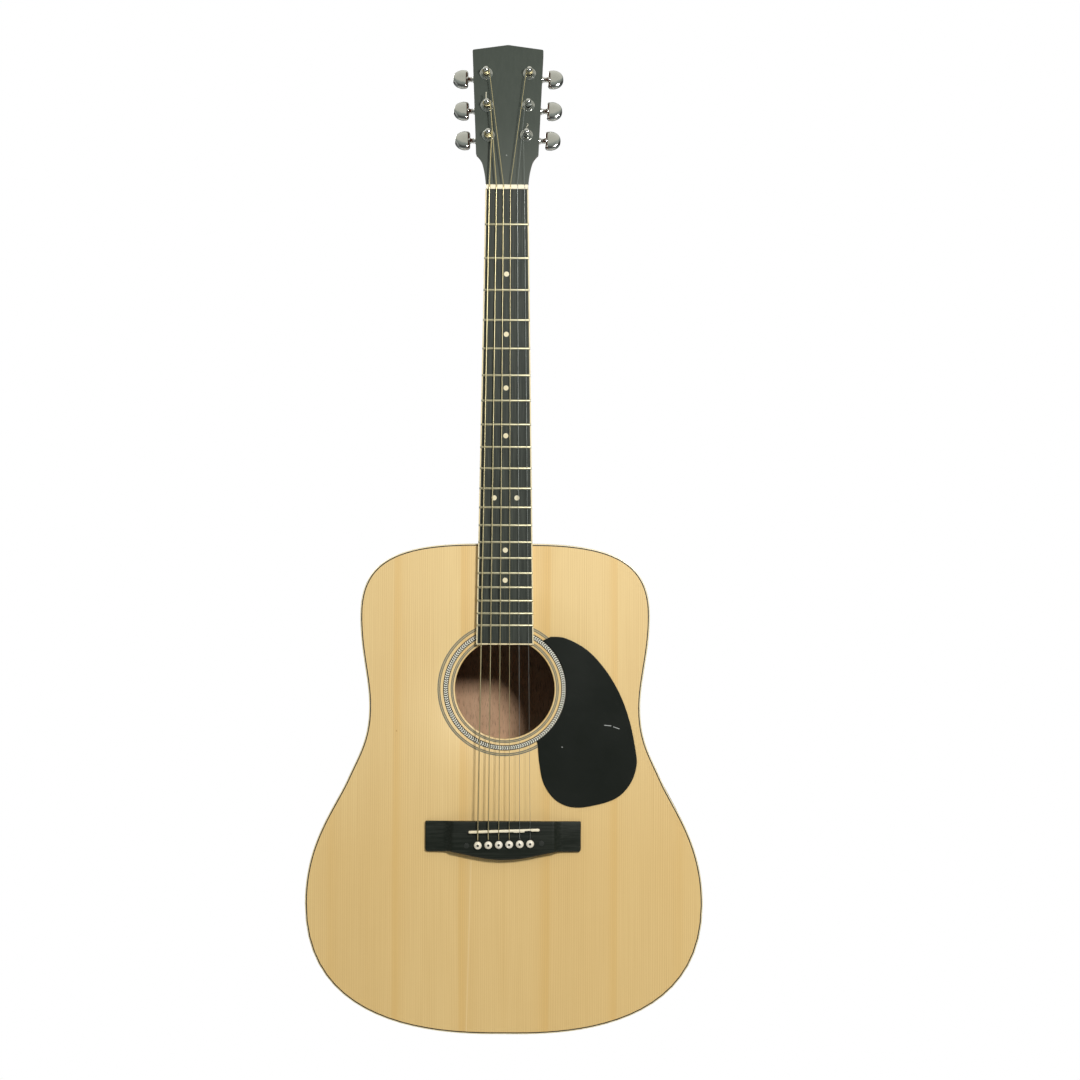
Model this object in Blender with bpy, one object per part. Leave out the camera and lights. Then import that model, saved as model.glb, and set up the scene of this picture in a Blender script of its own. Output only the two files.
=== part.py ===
"""Acoustic guitar, a dreadnought with six steel strings, as separate pieces.

The guitar stands upright with the neck up +Z, the soundboard facing -Y and the treble side at +X.
The origin is the throat under the headstock, where a wall hanger's fork carries the guitar.
Every size below is in millimetres, and new_object turns them into metres.
"""
import math

import bmesh
import bpy
from mathutils import Vector

MM = 0.001
GAP = 0.3  # clearance between pieces that touch

# Scale and neck
SCALE_LENGTH = 646.0
NUT_Z = -24.0  # front edge of the nut, where the scale starts
FIRST_FRET_SHIFT = 0.6  # the frets are laid out from this far behind the nut's front edge
NUT_LENGTH = 4.9
NUT_HALF_WIDTH = 21.5
NUT_TOP_Y = -19.4
FRETS = 20
FINGERBOARD_LENGTH = 461.5
FINGERBOARD_HALF_WIDTHS = (21.8, 29.1)  # at the nut and at the end
FINGERBOARD_THICKNESS = 6.0
FRET_WIDTH = 2.2
FRET_HEIGHT = 1.0
NECK_DEPTHS = (15.0, 17.0)  # at the nut and where the heel starts
HEEL_START_Z = -335.0
HEEL_CAP_START_Z = -368.0
HEEL_CAP_Y = 88.2
TENON = (14.7, -5.4, 70.0, 16.4)  # half width, front, back, length into the body

# Body
FACE_Y = -12.0  # front of the soundboard
BODY_TOP_Z = -383.3
BODY_LENGTH = 498.0
PLATE_THICKNESS = 3.0
SIDE_THICKNESS = 2.5
BINDING = (1.8, 6.0)  # thickness, depth
LINING = (6.0, 15.0)
DEPTH_AT_NECK = 100.0
DEPTH_AT_TAIL = 120.0
BACK_RISE = 16.0  # how far the back swells along its length
BACK_RADIUS = 5000.0  # of the dome across the back
SOUNDHOLE_Z = -530.6
SOUNDHOLE_RADIUS = 50.6
ROSETTE_RADII = (52.3, 68.3)
ROSETTE_THICKNESS = 1.0

# Half of the body's outline, as cubic curves from the neck end to the tail: each is its end point
# and two handles, in x outward and in distance below the neck end.
SHOULDER_START = (28.0, 0.0)
OUTLINE_CURVES = (
    ((114.0, 0.0), (147.0, 20.0), (147.0, 73.0), 8),
    ((147.0, 110.0), (137.6, 137.0), (137.6, 166.0), 5),
    ((137.6, 199.0), (148.0, 214.3), (159.0, 239.0), 4),
    ((172.9, 270.0), (202.0, 304.0), (202.0, 366.0), 6),
    ((202.0, 503.1), (41.5, 498.0), (0.0, 498.0), 12),
)

# Bridge
BRIDGE_HALF_LENGTH = 78.9
BRIDGE_SHIFT = -1.0  # the body of the bridge sits this far off the middle of its pins
BRIDGE_RAISED_HALF = 51.6
BRIDGE_TOP_Z = -664.6
BRIDGE_WING_Z = -695.6
BRIDGE_BELLY_Z = -704.0
BRIDGE_HEIGHT = 8.5
WING_HEIGHTS = (4.0, 3.0)
SADDLE_Z = -674.1
SADDLE_SLANT = 0.0347
SADDLE_SIZE = (72.0, 3.0)
SADDLE_TOP_Y = -23.9
PIN_Z = -687.9
PIN_HEAD_RADIUS = 4.05
PIN_SHANK_RADIUS = 2.2
STRING_HOLE_OFFSET = 5.1  # from a pin's axis to its string, towards the neck

# Headstock, measured along its tilted face from the front edge of the nut
HEAD_TILT = math.radians(14)
HEAD_FACE_Y = -14.5
OVERLAY_THICKNESS = 1.5
HEAD_BACK = 15.5
HEAD_OUTLINE = (
    (21.7, 5.4), (21.9, 8.7), (22.5, 14.0), (23.6, 20.5), (25.6, 28.5), (28.0, 33.0),
    (31.3, 36.8), (31.8, 38.4), (36.4, 151.2), (35.3, 152.8), (0.0, 157.9),
)
THROAT_CARVE = 5.0  # how far the flare is cut back at the rear of the headstock

# Tuners: (name, x, distance along the headstock, height of the first turn)
TUNERS = (
    ("E_low", -19.5, 58.5, 6.3),
    ("A", -21.1, 91.0, 8.9),
    ("D", -22.2, 126.0, 7.6),
    ("G", 22.2, 126.0, 7.6),
    ("B", 21.1, 91.0, 8.4),
    ("E_high", 19.5, 58.5, 6.0),
)
POST_RADIUS = 3.0
POST_TOP = 14.6
GEAR_TEETH = 14
GEAR_RADIUS = 2.6
GEAR_SPAN = (-27.0, -23.0)
WORM_OFFSET = 4.0
WORM_DEPTH = -25.0
WORM_RADIUS = 1.2
SHAFT_RADIUS = 1.9
POST_END = -29.1
HOUSING_BACK = -31.0
BUTTON_START = 18.9
BUTTON_SIZE = (16.0, 20.4, 7.0)

# Strings, from the bass side: diameters, and their places at the nut and at the bridge
STRING_DIAMETERS = (1.35, 1.07, 0.81, 0.61, 0.41, 0.30)
NUT_SPACING = 7.12
BRIDGE_SPACING = 10.6
POST_TURNS = 11  # eighths of a turn round each post

END_PIN_Y = 54.0
ROD_Y = -2.5
ROD_RADIUS = 2.5
ROD_NUT_Z = -438.7

# Braces under the soundboard: an X whose legs run 1.072 mm across for each millimetre down
X_CROSSING = (0.0, -618.0)
X_SPREAD = 1.072
X_WIDTH = 8.0
X_HEIGHT = 15.0
BRACE_TILT = 0.07  # each brace stands this much lower than the last, so that no two faces are level
BACK_BRACES = ((-600.0, 134.0, 9.0, 14.0), (-700.0, 172.0, 9.0, 12.0), (-800.0, 174.0, 9.0, 12.0))
CENTRE_STRIP = (-596.0, -853.6, 7.0, 3.0)  # start, end, half width, thickness
BRIDGE_PLATE = ((-30.0, -655.0), (30.0, -655.0), (80.0, -712.0), (-80.0, -712.0))
BRIDGE_PLATE_THICKNESS = 3.0

# Blocks inside the ends of the body
NECK_BLOCK_HALF = 30.0
TAIL_BLOCK_HALF = 25.0
TAIL_BLOCK_LENGTH = 16.0
TAIL_BORE_RADIUS = 5.3


# Geometry helpers -----------------------------------------------------------------------------

def clear_scene():
    for obj in list(bpy.data.objects):
        bpy.data.objects.remove(obj, do_unlink=True)


def new_material(name, colour, roughness, metallic=0.0):
    material = bpy.data.materials.new(name)
    material.use_nodes = True
    shader = material.node_tree.nodes["Principled BSDF"]
    shader.inputs["Base Color"].default_value = (*colour, 1.0)
    shader.inputs["Roughness"].default_value = roughness
    shader.inputs["Metallic"].default_value = metallic
    return material


def new_object(name, points, faces, material=None, origin=(0.0, 0.0, 0.0), smooth=False):
    """An object with its own origin, from points in millimetres."""
    start = Vector(origin)
    mesh = bpy.data.meshes.new(name)
    mesh.from_pydata([tuple((Vector(p) - start) * MM) for p in points], [], faces)
    grid = bmesh.new()
    grid.from_mesh(mesh)
    bmesh.ops.recalc_face_normals(grid, faces=grid.faces)
    grid.to_mesh(mesh)
    grid.free()
    if smooth:
        mesh.shade_smooth()
        mesh.set_sharp_from_angle(angle=math.radians(40))
    obj = bpy.data.objects.new(name, mesh)
    obj.location = start * MM
    bpy.context.scene.collection.objects.link(obj)
    if material:
        mesh.materials.append(material)
    return obj


def helper(obj):
    """Keeps an object only as the other side of a Boolean."""
    obj.hide_render = True
    obj.display_type = "WIRE"
    return obj


def boolean(obj, other, operation="DIFFERENCE"):
    modifier = obj.modifiers.new(other.name, "BOOLEAN")
    modifier.operation = operation
    modifier.object = helper(other)
    modifier.solver = "EXACT"


def loft(sections, closed=False):
    """Points and faces of a tube through sections with the same number of points."""
    count = len(sections[0])
    points = [p for section in sections for p in section]
    faces = []
    spans = len(sections) if closed else len(sections) - 1
    for i in range(spans):
        low = i * count
        high = ((i + 1) % len(sections)) * count
        for j in range(count):
            k = (j + 1) % count
            faces.append((low + j, low + k, high + k, high + j))
    if not closed:
        faces.append(tuple(range(count)))
        faces.append(tuple(range(len(points) - 1, len(points) - 1 - count, -1)))
    return points, faces


def joined(*shapes):
    """Several sets of points and faces as one."""
    points = []
    faces = []
    for some_points, some_faces in shapes:
        faces += [tuple(i + len(points) for i in face) for face in some_faces]
        points += some_points
    return points, faces


def prism(outline, front, back):
    """An (x, z) outline extruded from one y to another."""
    return loft([[(x, front, z) for x, z in outline], [(x, back, z) for x, z in outline]])


def box(low, high):
    outline = ((low[0], low[2]), (high[0], low[2]), (high[0], high[2]), (low[0], high[2]))
    return prism(outline, low[1], high[1])


def bar(start, end, width, front, back):
    """A straight brace between two (x, z) points."""
    along = Vector((end[0] - start[0], end[1] - start[1])).normalized()
    across = Vector((-along.y, along.x)) * width / 2
    left = [tuple(Vector(point) + across) for point in (start, end)]
    right = [tuple(Vector(point) - across) for point in (end, start)]
    return prism(left + right, front, back)


def circle(x, z, radius, sides):
    turn = 2 * math.pi / sides
    return [(x + radius * math.cos(i * turn), z + radius * math.sin(i * turn)) for i in range(sides)]


def turned(profile, place, sides):
    """A profile of (radius, height) turned round a local axis; place maps local points to the world."""
    turn = 2 * math.pi / sides
    sections = []
    for radius, height in profile:
        ring = [(radius * math.cos(i * turn), radius * math.sin(i * turn), height) for i in range(sides)]
        sections.append([place(*p) for p in ring])
    return sections


def tube(path, radii, sides=6):
    """A round tube along a path, with a radius at each point."""
    path = [Vector(p) for p in path]
    sections = []
    side = None
    for i, point in enumerate(path):
        ahead = (path[min(i + 1, len(path) - 1)] - point).normalized()
        behind = (point - path[max(i - 1, 0)]).normalized()
        tangent = (ahead + behind).normalized()
        if side is None:
            side = tangent.orthogonal()
        side = (side - tangent * side.dot(tangent)).normalized()
        up = tangent.cross(side)
        turn = 2 * math.pi / sides
        sections.append([
            tuple(point + (side * math.cos(j * turn) + up * math.sin(j * turn)) * radii[i])
            for j in range(sides)
        ])
    return loft(sections)


def bezier(start, first, second, end, count):
    """The points of a cubic curve after its start."""
    points = []
    for i in range(1, count + 1):
        t = i / count
        s = 1 - t
        weights = (s ** 3, 3 * s * s * t, 3 * s * t * t, t ** 3)
        corners = (start, first, second, end)
        points.append(tuple(sum(w * c[k] for w, c in zip(weights, corners)) for k in (0, 1)))
    return points


def spline(points, steps):
    """A smooth open curve through points, with a few steps between each pair."""
    result = []
    for i in range(len(points) - 1):
        around = [Vector(points[max(0, min(len(points) - 1, i + k))]) for k in (-1, 0, 1, 2)]
        for step in range(steps):
            t = step / steps
            a, b, c, d = around
            result.append(tuple(0.5 * (
                2 * b + (c - a) * t + (2 * a - 5 * b + 4 * c - d) * t * t + (3 * b - a - 3 * c + d) * t ** 3
            )))
    result.append(tuple(points[-1]))
    return result


# The body's outline ---------------------------------------------------------------------------

def half_outline(inset=0.0):
    """The treble half of the outline as (x, z), from the neck end to the tail, moved inwards."""
    points = [(0.0, 0.0), SHOULDER_START]
    for first, second, end, count in OUTLINE_CURVES:
        points += bezier(points[-1], first, second, end, count)
    moved = []
    for i, (x, down) in enumerate(points):
        if i == 0 or i == len(points) - 1:
            normal = Vector((0.0, 1.0 if i == 0 else -1.0))
        else:
            before, after = points[i - 1], points[i + 1]
            along = Vector((after[0] - before[0], after[1] - before[1])).normalized()
            normal = Vector((-along.y, along.x))
        moved.append((x + normal.x * inset, BODY_TOP_Z - down - normal.y * inset))
    return moved


def whole_outline(inset=0.0):
    half = half_outline(inset)
    return half + [(-x, z) for x, z in reversed(half[1:-1])]


def back_y(x, z):
    """The outside of the domed back."""
    s = (BODY_TOP_Z - z) / BODY_LENGTH
    depth = DEPTH_AT_NECK + (DEPTH_AT_TAIL - DEPTH_AT_NECK) * s + BACK_RISE * s * (1 - s)
    return FACE_Y + depth - x * x / (2 * BACK_RADIUS)


def strip(outer, inner, front, back):
    """Sections of a bent strip: front and back give its y from the outer point."""
    sections = []
    for (x, z), (u, w) in zip(outer, inner):
        sections.append([(x, front(x, z), z), (x, back(x, z), z), (u, back(x, z), w), (u, front(x, z), w)])
    return sections


def mirrored(points):
    return [(-x, y, z) for x, y, z in points]


# Body pieces ----------------------------------------------------------------------------------

def pin_places():
    """(x, z) of each bridge pin, from the bass side."""
    xs = [(i - 2.5) * BRIDGE_SPACING for i in range(6)]
    return [(x, PIN_Z + SADDLE_SLANT * x) for x in xs]


def string_hole_cutter(name):
    """Drop-shaped holes that take a pin and its string."""
    shapes = []
    for x, z in pin_places():
        around = [math.radians(a) for a in (180, 210, 240, 270, 300, 330, 360)]
        outline = [(x + 2.6 * math.cos(a), z + 2.6 * math.sin(a)) for a in around]
        tip = [math.radians(a) for a in (10, 50, 90, 130, 170)]
        outline += [(x + 1.35 * math.cos(a), z + 4.9 + 1.35 * math.sin(a)) for a in tip]
        shapes.append(prism(outline, FACE_Y - 15, FACE_Y + 12))
    return new_object(name, *joined(*shapes))


def build_soundboard(wood):
    outline = whole_outline(BINDING[0] + GAP)
    board = new_object("soundboard", *prism(outline, FACE_Y, FACE_Y + PLATE_THICKNESS), wood)
    hole = prism(circle(0, SOUNDHOLE_Z, SOUNDHOLE_RADIUS, 40), FACE_Y - 5, FACE_Y + 8)
    boolean(board, new_object("soundhole_cutter", *hole))
    groove = ring_sections(ROSETTE_RADII[0] - GAP, ROSETTE_RADII[1] + GAP, FACE_Y - 2,
                           FACE_Y + ROSETTE_THICKNESS + GAP)
    boolean(board, new_object("rosette_groove_cutter", *loft(groove, closed=True)))
    boolean(board, string_hole_cutter("soundboard_pin_cutter"))


def ring_sections(inner, outer, front, back, sides=40):
    """A flat ring round the soundhole."""
    sections = []
    for (x, z), (u, w) in zip(circle(0, SOUNDHOLE_Z, inner, sides), circle(0, SOUNDHOLE_Z, outer, sides)):
        sections.append([(x, front, z), (x, back, z), (u, back, w), (u, front, w)])
    return sections


def build_rosette(inlay):
    ring = ring_sections(*ROSETTE_RADII, FACE_Y, FACE_Y + ROSETTE_THICKNESS)
    new_object("rosette", *loft(ring, closed=True), inlay)


def build_back(wood):
    half = half_outline(BINDING[0] + GAP)[1:]
    (near_x, near_z), (_, tail_z) = half[-2:]
    half[-1] = (12.0, tail_z + (near_z - tail_z) * 12.0 / near_x)
    columns = [-1, -0.7, -0.35, 0, 0.35, 0.7, 1]
    sections = []
    for x, z in half:
        inside = [(x * c, back_y(x * c, z) - PLATE_THICKNESS, z) for c in columns]
        outside = [(x * c, back_y(x * c, z), z) for c in reversed(columns)]
        sections.append(inside + outside)
    points, faces = loft(sections)
    # The two end caps become strips of quads, so that the curved edges stay true.
    faces = faces[:-2]
    count = 2 * len(columns)
    for start in (0, len(points) - count):
        for j in range(len(columns) - 1):
            faces.append((start + j, start + j + 1, start + count - 2 - j, start + count - 1 - j))
    new_object("back_plate", points, faces, wood, smooth=True)


def build_sides(wood):
    outer = half_outline()
    inner = half_outline(SIDE_THICKNESS)
    for path in (outer, inner):
        path[0] = (TENON[0] + 2 * GAP, path[0][1])
        path[-1] = (GAP / 2, path[-1][1])
    edge = BINDING[1] + GAP
    sections = strip(outer, inner, lambda x, z: FACE_Y + edge, lambda x, z: back_y(x, z) - edge)
    hole = circle(0, END_PIN_Y, 5.3, 14)
    for name, flip in (("treble_side", False), ("bass_side", True)):
        points, faces = loft(sections)
        side = new_object(name, mirrored(points) if flip else points, faces, wood, smooth=True)
        tail = BODY_TOP_Z - BODY_LENGTH
        cutter = loft([[(x, y, tail - 5) for x, y in hole], [(x, y, tail + 8) for x, y in hole]])
        boolean(side, new_object(name + "_pin_cutter", *cutter))


def build_bindings(celluloid):
    outer = whole_outline()
    inner = whole_outline(BINDING[0])
    front = strip(outer, inner, lambda x, z: FACE_Y, lambda x, z: FACE_Y + BINDING[1])
    new_object("top_binding", *loft(front, closed=True), celluloid, smooth=True)
    back = strip(outer, inner, lambda x, z: back_y(x, z) - BINDING[1], back_y)
    new_object("back_binding", *loft(back, closed=True), celluloid, smooth=True)


def lining_path(inset):
    """The outline from one side of the neck block round the tail to the other side."""
    half = [p for p in half_outline(inset) if p[0] > 40 or p[1] < BODY_TOP_Z - 100]
    start = (33.0, BODY_TOP_Z - inset)
    half = [start] + half
    return half + [(-x, z) for x, z in reversed(half[:-1])]


def build_linings(wood):
    outer = lining_path(SIDE_THICKNESS + GAP)
    inner = lining_path(SIDE_THICKNESS + GAP + LINING[0])
    near = PLATE_THICKNESS + GAP
    top = strip(outer, inner, lambda x, z: FACE_Y + near, lambda x, z: FACE_Y + near + LINING[1])
    new_object("top_lining", *loft(top), wood)
    far = near + 0.3
    back = strip(outer, inner, lambda x, z: back_y(x, z) - far - LINING[1], lambda x, z: back_y(x, z) - far)
    new_object("back_lining", *loft(back), wood)


def build_blocks(wood):
    front = FACE_Y + PLATE_THICKNESS + GAP
    top = BODY_TOP_Z - SIDE_THICKNESS - GAP
    bottom = ROD_NUT_Z + 0.7
    neck_back = back_y(NECK_BLOCK_HALF, top) - PLATE_THICKNESS - GAP
    low, high = (-NECK_BLOCK_HALF, front, bottom), (NECK_BLOCK_HALF, neck_back, top)
    block = new_object("neck_block", *box(low, high), wood)
    half, _, deep, long = TENON
    mortise_end = top - long + SIDE_THICKNESS - GAP
    mortise = box((-half - GAP, front - 5, mortise_end), (half + GAP, deep + GAP, top + 5))
    boolean(block, new_object("mortise_cutter", *mortise))
    bore = circle(0, ROD_Y, ROD_RADIUS + 0.6, 12)
    through = loft([[(x, y, bottom - 5) for x, y in bore], [(x, y, top - 8) for x, y in bore]])
    boolean(block, new_object("rod_bore_cutter", *through))

    tail = BODY_TOP_Z - BODY_LENGTH + SIDE_THICKNESS + GAP
    outer = tail + 0.6
    inner = tail + LINING[0] + GAP + 0.6
    far = inner + TAIL_BLOCK_LENGTH
    back = back_y(TAIL_BLOCK_HALF, far) - PLATE_THICKNESS - 2 * GAP
    shelf_front = front + LINING[1] + GAP
    shelf_back = back - LINING[1] - 2 * GAP
    profile = [(front, far), (back, far), (back, inner), (shelf_back, inner), (shelf_back, outer),
               (shelf_front, outer), (shelf_front, inner), (front, inner)]
    ends = [[(x, y, z) for y, z in profile] for x in (-TAIL_BLOCK_HALF, TAIL_BLOCK_HALF)]
    block = new_object("tail_block", *loft(ends), wood)
    bore = circle(0, END_PIN_Y, TAIL_BORE_RADIUS, 14)
    through = loft([[(x, y, tail - 8) for x, y in bore], [(x, y, far + 8) for x, y in bore]])
    boolean(block, new_object("tail_bore_cutter", *through))


def build_top_braces(wood):
    front = FACE_Y + PLATE_THICKNESS + GAP

    def leg(x):
        return (x, X_CROSSING[1] - abs(x) / X_SPREAD)

    def upper(x):
        return (x, X_CROSSING[1] + abs(x) / X_SPREAD)

    braces = new_object("top_braces", *bar(upper(-130), leg(178), X_WIDTH, front, front + X_HEIGHT), wood)
    # Each line: start, end, width and height of a bar glued to the crossing pair
    others = (
        (upper(130), leg(-178), X_WIDTH, X_HEIGHT - 0.2),
        ((-134, -468), (134, -468), 9, 16),
        ((-62, -465), (-62, -561), 7, 8),
        ((62, -465), (62, -561), 7, 7.7),
        (leg(115), (-62, -800), 7, 11),
        (leg(160), (-18, -848), 7, 10.6),
    )
    for i, (start, end, width, height) in enumerate(others):
        shape = bar(start, end, width, front + BRACE_TILT * (i + 1), front + height)
        boolean(braces, new_object("brace_%d" % i, *shape), "UNION")
    access = box((-4.4, front - 4, -480), (4.4, ROD_Y + 4, -456))
    boolean(braces, new_object("access_cutter", *access))

    plate = new_object("bridge_plate", *prism(BRIDGE_PLATE, front, front + BRIDGE_PLATE_THICKNESS), wood)
    boolean(plate, string_hole_cutter("bridge_plate_pin_cutter"))


def build_back_braces(wood):
    under = PLATE_THICKNESS + 0.5

    def ladder(z, half, width, height):
        sections = []
        for i in range(9):
            x = half * (i / 4 - 1)
            top, bottom = z + width / 2, z - width / 2
            low, high = back_y(x, bottom) - under, back_y(x, top) - under
            section = ((low, bottom), (high, top), (high - height, top), (low - height, bottom))
            sections.append([(x, y, w) for y, w in section])
        return loft(sections)

    braces = new_object("back_braces", *ladder(*BACK_BRACES[0]), wood)
    for i, values in enumerate(BACK_BRACES[1:]):
        boolean(braces, new_object("back_brace_%d" % i, *ladder(*values)), "UNION")
    start, end, half, thick = CENTRE_STRIP
    sections = []
    for i in range(9):
        z = start + (end - start) * i / 8
        y = back_y(half, z) - under - 0.2
        sections.append([(-half, y, z), (half, y, z), (half, y - thick, z), (-half, y - thick, z)])
    boolean(braces, new_object("centre_strip", *loft(sections)), "UNION")


def build_pickguard(plastic):
    curve = spline(
        ((46.5, 53.2), (61.5, 51.7), (83.0, 40.2), (101.5, 20.7), (116.7, -4.4), (127.0, -32.4),
         (133.4, -63.5), (134.0, -78.6), (128.0, -95.7), (114.7, -109.8), (94.0, -117.3),
         (70.6, -120.0), (52.5, -113.0), (40.2, -96.6), (35.5, -76.0), (33.7, -56.5)), 2)
    arc = [math.radians(a) for a in range(-58, 53, 10)]
    curve += [(62.5 * math.cos(a), 62.5 * math.sin(a)) for a in arc]
    outline = [(x, SOUNDHOLE_Z + z) for x, z in curve]
    new_object("pickguard", *prism(outline, FACE_Y - GAP - 0.7, FACE_Y - GAP), plastic)


def bridge_height(x):
    """The bridge is raised in the middle and scooped down to thin wings."""
    x = abs(x)
    if x <= BRIDGE_RAISED_HALF:
        return BRIDGE_HEIGHT
    run = min(1.0, (x - BRIDGE_RAISED_HALF) / 10)
    tall, thin = WING_HEIGHTS
    scoop = BRIDGE_HEIGHT - (BRIDGE_HEIGHT - tall) * math.sin(run * math.pi / 2)
    return scoop - (tall - thin) * max(0.0, (x - BRIDGE_RAISED_HALF - 10) / 17.3)


def bridge_bottom(x):
    """Where the bridge ends below: straight at the wings, with a belly between them."""
    belly = max(0.0, math.cos(min(1.0, abs(x) / 56) * math.pi / 2)) ** 1.3
    return BRIDGE_WING_Z - (BRIDGE_WING_Z - BRIDGE_BELLY_Z) * belly


def build_bridge(ebony, bone):
    base = FACE_Y - GAP
    half = [0, 12, 24, 34, 44, BRIDGE_RAISED_HALF, 53.5, 56, 59, 61.6, 70, 77.4, BRIDGE_HALF_LENGTH]
    stations = [-x for x in reversed(half[1:])] + half
    sections = []
    for x in stations:
        nip = 1.5 if abs(x) == BRIDGE_HALF_LENGTH else 0.0
        top = base - bridge_height(x) + nip / 2
        high = BRIDGE_TOP_Z - nip
        low = bridge_bottom(x) + nip
        section = ((base, high), (top + 0.8, high), (top, high - 0.8),
                   (top, low + 0.8), (top + 0.8, low), (base, low))
        sections.append([(x + BRIDGE_SHIFT, y, z) for y, z in section])
    bridge = new_object("bridge", *loft(sections), ebony, smooth=True)
    length, thick = SADDLE_SIZE
    bottom = base - 3.2

    def slanted(long, wide, low, high):
        ends = [(x, SADDLE_Z + SADDLE_SLANT * x) for x in (-long / 2, long / 2)]
        return bar(*ends, wide, low, high)

    slot = slanted(length + 2 * GAP, thick + 2 * GAP, base - 20, bottom + GAP)
    boolean(bridge, new_object("saddle_slot_cutter", *slot))
    boolean(bridge, string_hole_cutter("bridge_pin_cutter"))
    new_object("saddle", *slanted(length, thick, SADDLE_TOP_Y, bottom), bone)


def build_bridge_pins(plastic):
    top = FACE_Y - GAP - BRIDGE_HEIGHT - GAP
    # Radius, and distance out from the bridge's top face
    head = ((1.6, 3.6), (3.2, 3.0), (PIN_HEAD_RADIUS, 1.4), (PIN_HEAD_RADIUS - 0.2, 0.0))
    shank = ((PIN_SHANK_RADIUS, 0.0), (PIN_SHANK_RADIUS - 0.1, -23.0), (1.4, -25.0))
    for (name, *_), (x, z) in zip(TUNERS, pin_places()):
        def place(across, along, out):
            return (x + across, top - out, z + along)

        new_object("bridge_pin_" + name, *loft(turned(head + shank, place, 12)), plastic,
                   origin=(x, top, z), smooth=True)


def build_end_pin(plastic):
    tail = BODY_TOP_Z - BODY_LENGTH
    profile = ((4.6, 26.0), (4.9, 3.0), (4.9, -0.4), (7.6, -0.4), (7.6, -1.6), (4.4, -2.6), (4.6, -5.4),
               (7.4, -7.4), (7.2, -8.8), (6.0, -9.6))

    def place(across, along, up):
        return (across, END_PIN_Y + along, tail + up)

    new_object("end_pin", *loft(turned(profile, place, 16)), plastic,
               origin=(0, END_PIN_Y, tail), smooth=True)


# Neck pieces ----------------------------------------------------------------------------------

def on_headstock(x, along, out):
    """A point in the tilted frame of the headstock's face."""
    y = HEAD_FACE_Y + along * math.sin(HEAD_TILT) - out * math.cos(HEAD_TILT)
    z = NUT_Z + along * math.cos(HEAD_TILT) + out * math.sin(HEAD_TILT)
    return (x, y, z)


def fingerboard_half_width(z):
    start, end = FINGERBOARD_HALF_WIDTHS
    return start + (end - start) * (NUT_Z - z) / FINGERBOARD_LENGTH


def fret_z(number):
    return NUT_Z + FIRST_FRET_SHIFT - SCALE_LENGTH * (1 - 2 ** (-number / 12))


def neck_section(z, half_width, front, depth):
    """A rounded D with a flat front, cut off flat at the heel cap."""
    section = []
    for i in range(13):
        angle = math.pi * i / 12
        c, s = math.cos(angle), max(0.0, math.sin(angle))
        x = half_width * math.copysign(abs(c) ** 0.9, c)
        section.append((x, min(front + depth * s ** 0.9, HEEL_CAP_Y), z))
    return section


def headstock_outline(out):
    """The outline at a distance out from the face, with the flare cut back towards the rear."""
    carve = -out / HEAD_BACK * THROAT_CARVE
    flare_end = 40.0
    right = [(x, u + carve if u < flare_end else u) for x, u in HEAD_OUTLINE]
    return right + [(-x, u) for x, u in reversed(right[:-1])]


def headstock_slab(near, far):
    return loft([[on_headstock(x, u, out) for x, u in headstock_outline(out)] for out in (near, far)])


def post_hole_cutter(name):
    shapes = []
    for _, x, u, _ in TUNERS:
        ring = circle(x, u, 4.9, 12)
        shapes.append(loft([[on_headstock(a, b, out) for a, b in ring] for out in (5, -22)]))
    return new_object(name, *joined(*shapes))


def build_neck(wood):
    front = FACE_Y
    near, deep = NECK_DEPTHS
    sections = [neck_section(NUT_Z + 13, 22.0, -8.4, 13.0), neck_section(NUT_Z + 3.8, 21.4, front, near)]
    for z in (NUT_Z - 10, -90, -150, -210, -270, -315, HEEL_START_Z):
        share = (NUT_Z - z) / (NUT_Z - HEEL_START_Z)
        depth = near + (deep - near) * share
        sections.append(neck_section(z, fingerboard_half_width(z) - 0.2, front, depth))
    full = (HEEL_CAP_Y - front) / 0.93
    for i in range(1, 9):
        angle = math.pi / 2 * i / 8
        z = HEEL_START_Z + (HEEL_CAP_START_Z - HEEL_START_Z) * math.sin(angle)
        depth = deep + (full - deep) * (1 - math.cos(angle))
        sections.append(neck_section(z, fingerboard_half_width(z) - 0.2, front, depth))
    sections.append(neck_section(BODY_TOP_Z + GAP, 27.3, front, full))
    neck = new_object("neck", *loft(sections), wood, smooth=True)
    slab = headstock_slab(-OVERLAY_THICKNESS - GAP, -HEAD_BACK)
    boolean(neck, new_object("headstock_wood", *slab), "UNION")
    half, low, high, length = TENON
    tenon = box((-half, low, BODY_TOP_Z - length), (half, high, BODY_TOP_Z + 4))
    boolean(neck, new_object("tenon", *tenon), "UNION")
    slot = box((-2.9, front - 4, BODY_TOP_Z - length - 4), (2.9, ROD_Y + 2.9, NUT_Z - 12))
    boolean(neck, new_object("rod_slot_cutter", *slot))
    boolean(neck, post_hole_cutter("neck_post_cutter"))


def build_overlay(veneer):
    overlay = new_object("headstock_overlay", *headstock_slab(0.0, -OVERLAY_THICKNESS), veneer)
    boolean(overlay, post_hole_cutter("overlay_post_cutter"))


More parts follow.
